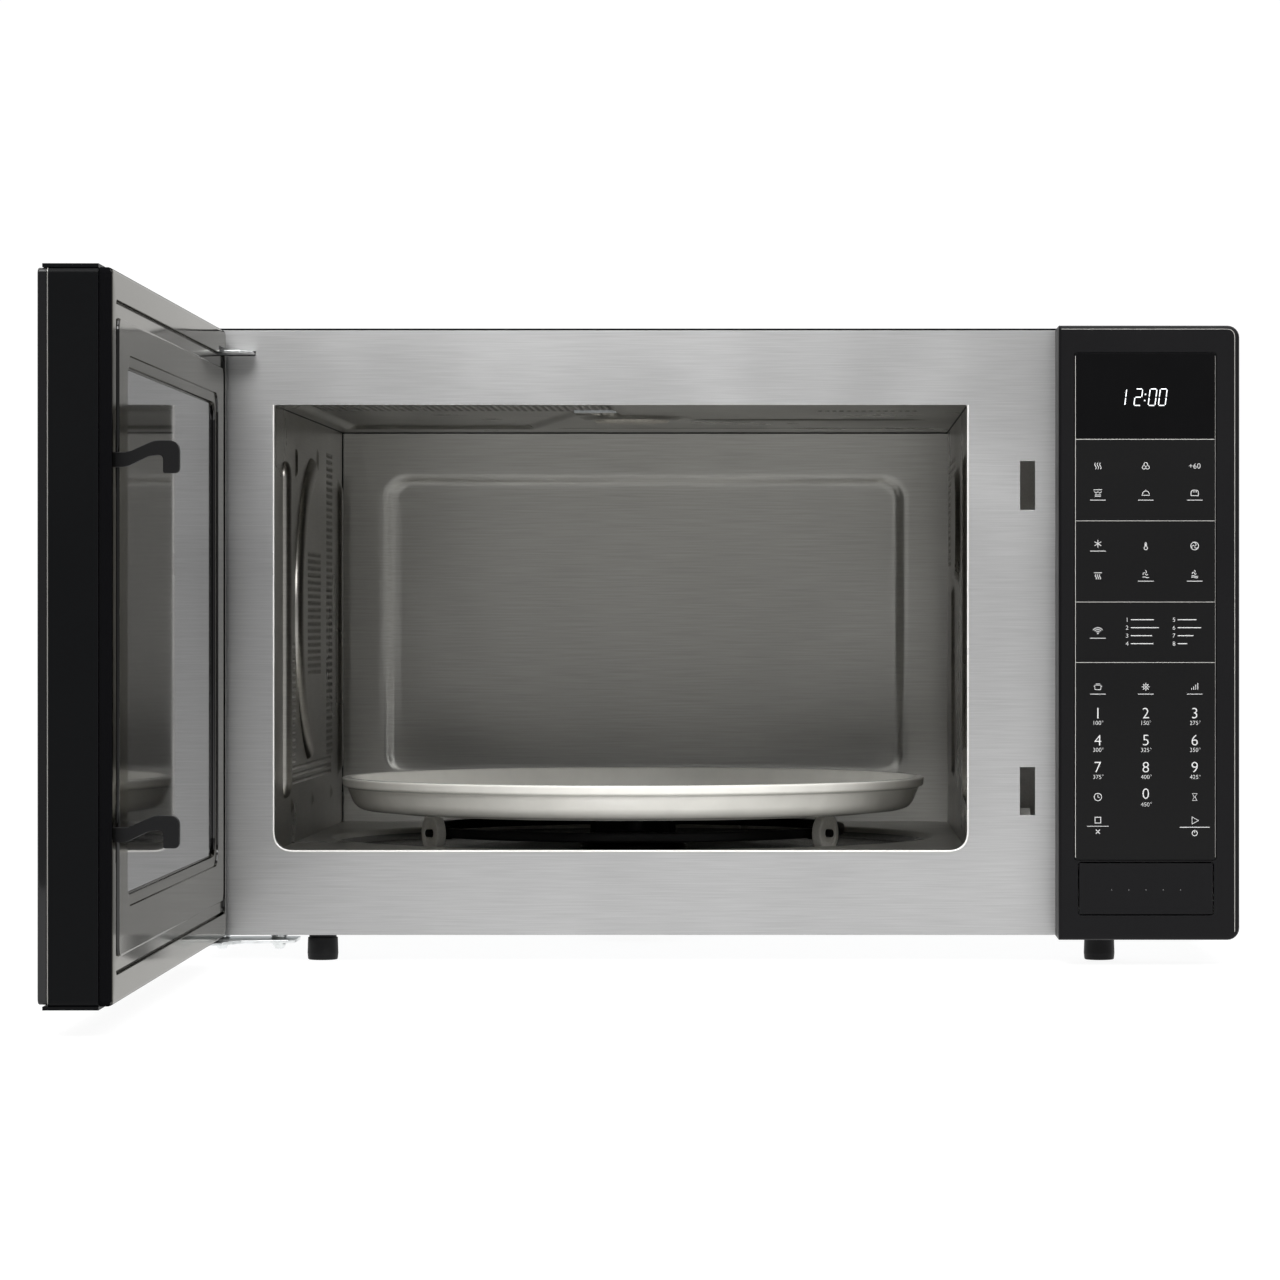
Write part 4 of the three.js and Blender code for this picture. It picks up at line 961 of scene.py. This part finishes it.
def keypad():
    pad_lo, pad_hi = extent("keypad_membrane")
    win_lo, win_hi = extent("display_window")
    pad = rounded_rect((pad_lo.x, pad_lo.z, pad_hi.x, pad_hi.z), (1.4, 1.4, 0.3, 0.3))
    window = rounded_rect((win_lo.x, win_lo.z, win_hi.x, win_hi.z), (0.3, 0.3, 1.4, 1.4))
    build("keypad_membrane", slab(pad, pad_lo.y, pad_hi.y), "membrane", bevel=0.15)
    build("display_window", slab(window, win_lo.y, win_hi.y), "display", bevel=0.15)


def release_button():
    lo, hi = extent("release_button")
    rounded_copy("release_button", "panel", bevel=0.55, segments=3)
    dot = [(0.55, 0.0), (0.5, 0.16), (0.35, 0.3), (0.0, 0.38)]
    dots = []
    count, pitch, height = 5, 10.15, (lo.z + hi.z) / 2 - 0.8
    for i in range(count):
        x = (lo.x + hi.x) / 2 + (i - (count - 1) / 2) * pitch
        verts, faces = lathe([(0, -0.05)] + dot, 16, axis="y")
        dots.append(([(vx + x, lo.y - vy, vz + height) for vx, vy, vz in verts], faces))
    detail("button_dots", "release_button", joined(*dots), "gloss", sharp=70)


# ---- legends

INK_RAISE = 0.06  # how far print stands proud
INK_WIDTH = 0.36  # usual width of a printed line


def ribbon(points, width, closed=False):
    """A flat printed line through 2-D points: its two sides, and whether it closes."""
    left, right = [], []
    for point, along in directions([Vector(p) for p in points], closed):
        across = Vector((-along.y, along.x)) * width / 2
        left.append(point + across)
        right.append(point - across)
    return (left, right), closed


def print_mesh(ribbons, plane, raise_by=INK_RAISE):
    """Ribbons as thin closed strips standing raise_by proud of a plane that faces the front."""
    meshes = []
    for (left, right), closed in ribbons:
        proud = plane - raise_by
        sections = [[(a.x, plane, a.y), (a.x, proud, a.y), (b.x, proud, b.y), (b.x, plane, b.y)]
                    for a, b in zip(left, right)]
        meshes.append(loft(sections, cap=not closed))
    return joined(*meshes)


def circle(cx, cy, r, count=20):
    return [polar(cx, cy, r, 2 * pi * i / count) for i in range(count)]


def wave(x0, y0, length, swing=0.12, count=10, upright=False):
    points = []
    for i in range(count + 1):
        along, off = length * i / count, swing * sin(2 * pi * i / count)
        points.append((x0 + off, y0 + along) if upright else (x0 + along, y0 + off))
    return points


def rays(cx, cy, inner, outer, count, turn=0.0):
    return [[polar(cx, cy, r, a) for r in (inner, outer)]
            for a in (turn + 2 * pi * i / count for i in range(count))]


def blades(cx, cy, r):
    return [[polar(cx, cy, reach * r, a + bend) for reach, bend in ((0.15, 0), (0.5, 0.25), (0.8, 0.7), (1, 1.25))]
            for a in (2 * pi * k / 3 + 0.4 for k in range(3))]


# Each icon is a pair: open lines and closed lines, in a square from -1 to 1.
ICONS = {
    "waves": ([wave(x, -0.8, 1.6, 0.18, upright=True) for x in (-0.6, 0, 0.6)], []),
    "kernels": ([], [circle(-0.45, -0.35, 0.42), circle(0.45, -0.35, 0.42), circle(0, 0.4, 0.45)]),
    "grill": ([[(-1, 0.75), (1, 0.75)], [(-0.9, 0.3), (-0.45, -0.1), (0, 0.3), (0.45, -0.1), (0.9, 0.3)]],
              [[(-0.7, -0.85), (0.7, -0.85), (0.7, -0.5), (-0.7, -0.5)]]),
    "broil": ([[(-1, 0.8), (1, 0.8)]] + [wave(x, -0.8, 1.2, 0.18, upright=True) for x in (-0.5, 0, 0.5)], []),
    "dome": ([[(-1, -0.6), (1, -0.6)], arc(0, -0.4, 0.85, 0, 180, 12), [(0, 0.45), (0, 0.75)]], []),
    "loaf": ([[(-0.35, 0.1), (-0.35, 0.4)], [(0.05, 0.1), (0.05, 0.4)], [(0.45, 0.1), (0.45, 0.4)]],
             [fillet([(-0.9, -0.7), (0.9, -0.7), (0.9, 0.65), (-0.9, 0.65)], [0.1, 0.1, 0.6, 0.6])]),
    "flake": (rays(0, 0, 0.0, 0.95, 6, pi / 2), []),
    "gauge": ([[(0, -0.1), (0, 0.55)]],
              [arc(0, -0.5, 0.42, -245, 65, 14) + [(0.18, 0.7), (0, 0.9), (-0.18, 0.7)]]),
    "fan": (blades(0, 0, 0.85), [circle(0, 0, 0.95, 24)]),
    "low_mix": (blades(-0.1, 0.15, 0.7) + [wave(-0.8, -0.85, 1.6, 0.1)], []),
    "high_mix": (blades(-0.1, 0.3, 0.6) + [wave(-0.8, -0.55, 1.6, 0.1), wave(-0.8, -0.9, 1.6, 0.1)], []),
    "sense": ([arc(0, -0.6, r, 35, 145, 10) for r in (0.5, 0.95, 1.4)], [circle(0, -0.6, 0.12, 10)]),
    "pot": ([[(-1, 0.1), (-0.75, 0.1)], [(0.75, 0.1), (1, 0.1)], [(-0.5, 0.7), (0.5, 0.7)]],
            [fillet([(-0.75, -0.7), (0.75, -0.7), (0.75, 0.4), (-0.75, 0.4)], [0.3, 0.3, 0, 0])]),
    "gear": (rays(0, 0, 0.55, 0.95, 8), [circle(0, 0, 0.55), circle(0, 0, 0.2, 10)]),
    "bars": ([[(x, -0.7), (x, -0.7 + h)] for x, h in ((-0.75, 0.4), (-0.25, 0.8), (0.25, 1.2), (0.75, 1.6))], []),
    "clock": ([[(0, 0.55), (0, 0), (0.4, -0.2)]], [circle(0, 0, 0.9, 24)]),
    "glass": ([], [[(-0.6, 0.85), (0.6, 0.85), (0.08, 0), (0.6, -0.85), (-0.6, -0.85), (-0.08, 0)]]),
    "stop": ([], [[(-0.7, -0.7), (0.7, -0.7), (0.7, 0.7), (-0.7, 0.7)]]),
    "cross": ([[(-0.6, -0.6), (0.6, 0.6)], [(-0.6, 0.6), (0.6, -0.6)]], []),
    "start": ([], [[(-0.55, -0.75), (0.8, 0), (-0.55, 0.75)]]),
    "ring": ([[(0, 0.1), (0, 0.95)]], [arc(0, -0.05, 0.8, 115, 425, 22)]),
}


def icon(kind, x, z, size, width=INK_WIDTH):
    open_lines, closed_lines = ICONS[kind]
    place = lambda line: [(x + size * a, z + size * b) for a, b in line]
    return ([ribbon(place(line), width) for line in open_lines]
            + [ribbon(place(line), width, True) for line in closed_lines])


def rule(x, z, half, width=INK_WIDTH):
    return [ribbon([(x - half, z), (x + half, z)], width)]


def numerals(text, x, z, height, plane):
    """Generic figures set flat on the front plane, centred on (x, z)."""
    curve = bpy.data.curves.new("figures", "FONT")
    curve.body, curve.extrude, curve.offset, curve.resolution_u = text, 0.01, -0.012, 3
    obj = linked("figures", curve)
    graph = bpy.context.evaluated_depsgraph_get()
    mesh = bpy.data.meshes.new_from_object(obj.evaluated_get(graph))
    bpy.data.objects.remove(obj)
    points = np.array([v.co for v in mesh.vertices])
    low, high = points.min(0), points.max(0)
    middle, scale = (low + high) / 2, height / (high[1] - low[1])
    verts = [(x + (p[0] - middle[0]) * scale, plane - (INK_RAISE if p[2] > 0 else 0),
              z + (p[1] - middle[1]) * scale) for p in points]
    return verts, [tuple(polygon.vertices) for polygon in mesh.polygons]


def legends():
    lo, hi = extent("keypad_membrane")
    plane, top = lo.y, hi.z
    left, middle, right = (lo.x + 13.6, (lo.x + hi.x) / 2 + 0.3, hi.x - 12.4)
    columns = (left, middle, right)
    marks, figures = [], []
    functions = [
        (16.1, ("waves", "kernels", None)), (33.2, ("grill", "dome", "loaf")),
        (63.2, ("flake", "gauge", "fan")), (80.9, ("broil", "low_mix", "high_mix")),
        (114.5, ("sense", None, None)), (147.4, ("pot", "gear", "bars")),
        (211.0, ("clock", None, "glass")),
    ]
    plain = ("waves", "kernels", "gauge", "fan", "clock", "glass", "broil")
    for down, kinds in functions:
        for x, kind in zip(columns, kinds):
            if kind:
                marks += icon(kind, x, top - down + (0 if kind in plain else 1.3), 2.4)
                marks += rule(x, top - down - 3.0, 4.6, 0.35) if kind not in plain else []
    figures.append(("+60", right, top - 16.1, 3.1))
    menus = ((1, middle - 11.0, (13.5, 16.5, 12.5, 13.2)), (5, right - 12.2, (11, 13.8, 9.2, 5.6)))
    for first, x, widths in menus:
        for k, width in enumerate(widths):
            z = top - 106.6 - 4.7 * k
            figures.append((str(first + k), x, z, 2.4))
            marks += rule(x + 2.2 + width / 2, z, width / 2, 0.5)
    temperatures = (100, 150, 275, 300, 325, 350, 375, 400, 425)
    for k, warm in enumerate(temperatures):
        x, z = columns[k % 3], top - 161.6 - 15.9 * (k // 3)
        figures.append((str(k + 1), x, z, 6.2))
        figures.append((f"{warm}°", x + 0.3, z - 5.7, 2.5))
    figures.append(("0", middle, top - 161.6 - 15.9 * 3 + 0.3, 6.2))
    figures.append(("450°", middle + 0.3, top - 215.3, 2.5))
    marks += icon("stop", left, top - 224.6, 2.4, 0.55) + rule(left, top - 228.2, 6.4, 0.3)
    marks += icon("cross", left, top - 231.4, 2.0, 0.45)
    marks += icon("start", right, top - 224.8, 2.8, 0.6) + rule(right, top - 228.8, 8.8, 0.4)
    marks += icon("ring", right, top - 232.2, 1.9, 0.42)
    meshes = [print_mesh(marks, plane)] + [numerals(*figure, plane) for figure in figures]
    detail("keypad_legends", "keypad_membrane", joined(*meshes), "print", sharp=30)

    edge = (lo.x + 0.6, hi.x - 0.6)
    lines = [ribbon([(edge[0], z), (edge[1], z)], 0.3) for z in (top - 48.4, top - 96.2, top - 131.8)]
    lines.append(ribbon([(edge[0], top - 0.4), (edge[1], top - 0.4)], 0.35))
    head = extent("display_window")[1].z
    # The two upright lines by the keypad's left and right edges are painted highlights where those edges catch the
    # light; the level lines are printed rules.
    lines.append(ribbon([(lo.x + 0.4, lo.z + 1.5), (lo.x + 0.4, head - 1.5)], 0.28))
    lines.append(ribbon([(hi.x - 0.3, lo.z + 1.5), (hi.x - 0.3, head - 1.5)], 0.12))
    detail("keypad_rules_and_glints", "keypad_membrane", print_mesh(lines, plane), "silver_line", sharp=30)


SEGMENTS = {"1": "bc", "2": "abged", "0": "abcdef"}
STROKES = {  # ends of each bar, in digit widths and half heights
    "a": ((0, 1), (1, 1)), "b": ((1, 1), (1, 0)), "c": ((1, 0), (1, -1)), "d": ((0, -1), (1, -1)),
    "e": ((0, 0), (0, -1)), "f": ((0, 1), (0, 0)), "g": ((0, 0), (1, 0)),
}


def clock():
    lo, hi = extent("display_window")
    height, width, slant, thick, gap = 9.7, 4.0, 0.125, 0.52, 0.4
    middle, level = (lo.x + hi.x) / 2, (lo.z + hi.z) / 2 - 0.9
    bars = []

    def lit(a, b):
        return (middle + a + slant * b, level + b)

    for figure, centre in (("1", -13.5), ("2", -4.1), ("0", 4.3), ("0", 10.3)):
        start = centre - width / 2
        for segment in SEGMENTS[figure]:
            (x0, h0), (x1, h1) = STROKES[segment]
            p = Vector((start + x0 * width, h0 * height / 2))
            q = Vector((start + x1 * width, h1 * height / 2))
            along = (q - p).normalized() * gap
            bars.append(ribbon([lit(*(p + along)), lit(*(q - along))], thick))
    for b in (height * 0.17, -height * 0.2):
        bars.append(ribbon([lit(-0.45, b), lit(0.25, b)], 0.7))
    glow = glowing("clock_light", (0.86, 0.93, 1.0), 0.95)
    detail("clock_figures", "display_window", print_mesh(bars, lo.y), glow, sharp=30)


# ---- cabinet, feet, hinges, back

def foot(cad_node):
    lo, hi = extent(cad_node)
    centre = ((lo.x + hi.x) / 2, (lo.y + hi.y) / 2, 0)
    radius, top = (hi.x - lo.x) / 2, 16.7
    profile = fillet([
        (0, 0.6), (radius - 3.2, 0.6), (radius - 3.2, 0), (radius - 0.4, 0), (radius, 4),
        (radius - 0.3, top - 3.4),
        (radius - 1.1, top - 3.0), (radius - 1.1, top - 2.2), (radius - 0.2, top - 1.8), (radius - 0.4, top),
        (3, top), (3, hi.z), (0, hi.z),
    ], [0, 0.2, 0.2, 1.0, 1.0, 0.4, 0.3, 0.3, 0.4, 0.5, 0, 0.6, 0], closed=False)
    build(cad_node, lathe(profile, 64, centre), "rubber", sharp=45)


def screw_mesh(radius=3.7, height=1.7):
    """A pan-head screw with a cross recess, its head's top at z = 0 in millimetres."""
    head = fillet([(0, 0), (radius * 0.62, 0), (radius, -height * 0.62), (radius, -height), (0, -height)],
                  [0, 1.4, 0.4, 0.1, 0], closed=False)
    obj = raw_object("screw", lathe(head, 40), Matrix.Scale(MM, 4))
    long, thin = radius * 0.62, 0.55
    bars = [tool(box_mesh(-a, a, -b, b, -1.1, 1), Matrix.Scale(MM, 4)) for a, b in ((long, thin), (thin, long))]
    for bar in bars:
        boolean(obj, bar, "DIFFERENCE")
    apply_modifiers(obj)
    for bar in bars:
        bpy.data.objects.remove(bar)
    verts = [tuple(v.co / MM) for v in obj.data.vertices]
    faces = [tuple(p.vertices) for p in obj.data.polygons]
    bpy.data.objects.remove(obj)
    return verts, faces


def placed(mesh_data, place):
    verts, faces = mesh_data
    return [place @ Vector(v) for v in verts], faces


def screws():
    head = screw_mesh()
    lo, hi = extent("rear_panel")
    back = Matrix.Rotation(radians(-90), 4, "X")
    spots = [(x, z) for x in (lo.x + 9, hi.x - 9) for z in (lo.z + 9, (lo.z + hi.z) / 2, hi.z - 9)]
    spots += [(x, hi.z - 9) for x in (-100, 100)]
    rear = [placed(head, Matrix.Translation((x, hi.y + 1.7, z)) @ back) for x, z in spots]
    detail("rear_screws", "rear_panel", joined(*rear), "zinc", sharp=35)
    under = Matrix.Rotation(radians(180), 4, "X")
    for cad_node in ("hinge_screw_1", "hinge_screw_2"):
        lo, hi = extent(cad_node)
        x, y = (lo.x + hi.x) / 2, (lo.y + hi.y) / 2
        big = screw_mesh((hi.x - lo.x) / 2, 4.5)
        shank = lathe([(0, lo.z + 4.4), (2.2, lo.z + 4.4), (2.2, hi.z - 0.6), (1.6, hi.z), (0, hi.z)],
                      24, (x, y, 0))
        whole = joined(placed(big, Matrix.Translation((x, y, lo.z)) @ under), shank)
        build(cad_node, whole, "zinc", sharp=35)


def lip_bead():
    """A bead on the folded edge round the sides and bottom of the cavity opening, coloured near white: a painted
    highlight where the edge catches the light.
    """
    left, right = extent("cavity_left_wall")[1].x, extent("cavity_right_wall")[0].x
    floor, top = extent("cavity_floor")[1].z, extent("cavity_ceiling")[0].z
    corner, bead = 12.0, 0.55
    line = fillet([(left, top), (left, floor), (right, floor), (right, top)], [0, corner, corner, 0], 10, False)
    points = [(x, -0.05, z) for x, z in line]
    detail("opening_edge_glint", "front_frame", tube(points, bead, 8), "steel_edge", sharp=60)


def rating_plate():
    """A metal plate on the back with plain printed rules and no words."""
    _, hi = extent("rear_panel")
    plate = rounded_rect((-60, 110, 60, 180), 3)
    detail("rating_plate", "rear_panel", slab(plate, hi.y, hi.y + 0.4), "zinc", bevel=0.12)
    rules = [ribbon([(-52, z), (52 - 18 * (k % 3), z)], 1.2) for k, z in enumerate(range(120, 174, 6))]
    verts, faces = print_mesh(rules, 0)
    marks = [(x, hi.y + 0.4 - y, z) for x, y, z in verts]
    detail("rating_marks", "rear_panel", (marks, faces), "plastic")


def cabinet():
    for cad_node, finish, bevel, segments in (
        ("outer_cabinet", "black_paint", 0.2, 2), ("front_frame", "steel", 0.22, 2),
        ("rear_panel", "galvanised", 0.15, 1), ("base_plate", "galvanised", 0.12, 1),
        ("cord_gland", "plastic", 0.4, 2), ("upper_hinge_plate", "zinc", 0.4, 2),
        ("lower_hinge_plate", "zinc", 0.4, 2),
    ):
        rounded_copy(cad_node, finish, bevel, segments)
    for end in ("front", "rear"):
        for side in ("left", "right"):
            foot(f"foot_{end}_{side}")
    lip_bead()
    rating_plate()
    screws()


# ---- pieces that keep their CAD shape

INSIDE = {
    "zinc": ["turntable_motor", "magnetron", "hv_capacitor", "convection_fan"],
    "laminations": ["hv_transformer", "cooling_fan_motor", "convection_motor"],
    "galvanised": ["waveguide", "convection_housing", "lamp_housing", "door_frame"],
    "white": ["cooling_fan_blade", "fan_shroud", "latch_bracket", "open_lever", "spring_seat"],
    "board": ["noise_filter_board", "control_board"],
    "plastic": ["primary_switch", "monitor_switch", "secondary_switch"],
    "gloss": ["display_module", "oven_lamp"],
    "heater": ["convection_heater"],
}


def inside_pieces():
    for finish, nodes in INSIDE.items():
        for cad_node in nodes:
            rounded_copy(cad_node, finish, bevel=0.15, segments=1)


def springs():
    """Each spring has one end on the part that moves and the other on the body that carries it; the copy is baked
    where it stands, and these ends are worked out but not used.
    """
    for cad_node, moving, axis in (("latch_spring", "latch", 2), ("release_spring", "button", 1)):
        lo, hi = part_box(cad_node)
        start, end = (lo + hi) / 2, (lo + hi) / 2
        start[axis], end[axis] = lo[axis], hi[axis]
        rounded_copy(cad_node, "zinc", bevel=0.0, sharp=50, body=(moving, BODY_OF[cad_node], start, end))


# ---- stage, lights, camera

def stage():
    material, tree, bsdf = shader("pale_floor")
    tree.links.new(tinted(tree, grain(tree, even(6)), (0.13, 0.13, 0.13), 0.01), bsdf.inputs["Base Color"])
    bsdf.inputs["Roughness"].default_value = 0.9
    bsdf.inputs["Emission Color"].default_value = (1, 1, 1, 1)
    glow = 0.9  # most of the floor's white is its own, so that it stays even in every view
    bsdf.inputs["Emission Strength"].default_value = glow
    wide, front, back, sweep, high = 9.0, -1.8, 6.6, 1.6, 7.0
    line = [(front, 0.0), (back - sweep, 0.0)]
    line += [(back - sweep + sweep * sin(a), sweep - sweep * cos(a))
             for a in (pi / 2 * i / 16 for i in range(1, 17))]
    line.append((back, high))
    verts = [(x, y, z) for y, z in line for x in (-wide, wide)]
    faces = [(2 * i, 2 * i + 1, 2 * i + 3, 2 * i + 2) for i in range(len(line) - 1)]
    mesh = bpy.data.meshes.new("backdrop")
    mesh.from_pydata(verts, [], faces)
    mesh.shade_smooth()
    mesh.materials.append(material)
    obj = linked("backdrop", mesh)


def area_light(name, place, aim, size, power):
    light = bpy.data.lights.new(name, "AREA")
    light.shape, light.size, light.size_y, light.energy = "RECTANGLE", size[0], size[1], power
    obj = linked(name, light)
    obj.location = place
    obj.rotation_euler = (Vector(aim) - Vector(place)).to_track_quat("-Z", "Y").to_euler()


def lights():
    """Bright overhead and behind, dimmer on the camera's side, as in a white cove shot from a dark room."""
    world = bpy.data.worlds.new("studio")
    bpy.context.scene.world = world
    world.use_nodes = True
    tree = world.node_tree
    axes = node(tree, "SeparateXYZ", {"Vector": node(tree, "TexCoord").outputs["Generated"]})

    def rise(axis, start, end, gain):
        return node(tree, "MapRange", {
            "Value": axes.outputs[axis], "From Min": start, "From Max": end, "To Min": 0.0, "To Max": gain,
        }, interpolation_type="SMOOTHSTEP").outputs["Result"]

    sky = node(tree, "Math", {0: rise("Z", 0.1, 0.8, 0.5), 1: rise("Y", -0.2, 0.6, 0.6)}, operation="ADD")
    total = node(tree, "Math", {0: sky.outputs["Value"], 1: 0.32}, operation="ADD")
    background = tree.nodes["Background"]
    background.inputs["Color"].default_value = (1, 1, 1, 1)
    tree.links.new(total.outputs["Value"], background.inputs["Strength"])
    area_light("overhead", (0.0, -0.5, 2.9), (0, 0.0, 0.2), (3.6, 2.2), 60)
    area_light("key", (-0.35, -1.9, 1.75), (-0.05, 0.05, 0.1), (1.2, 0.8), 22)
    area_light("front_left", (-2.0, -2.6, 2.0), (0, 0, 0.2), (1.6, 1.2), 20)
    area_light("front_right", (2.0, -2.6, 2.0), (0, 0, 0.2), (1.6, 1.2), 42)


def camera():
    distance, across, height = 2850.0, 59.5, 204.0
    data = bpy.data.cameras.new("camera")
    data.sensor_width, data.lens = 36.0, 134.3
    data.shift_x, data.shift_y = -0.1328, -0.0156
    data.clip_end = 50
    obj = linked("camera", data)
    obj.location = BODY @ Vector((across, -distance, height))
    obj.rotation_euler = (radians(90), 0, 0)
    bpy.context.scene.camera = obj


bpy.context.scene.view_settings.view_transform = "Standard"
camera()
cabinet()
left_wall()
right_wall()
ceiling()
back_wall()
cavity_floor()
turntable()
roller_parts()
rounded_copy("drive_coupler", "plastic", bevel=0.5, sharp=25)
door()
control_panel()
keypad()
release_button()
legends()
clock()
inside_pieces()
springs()
stage()
lights()
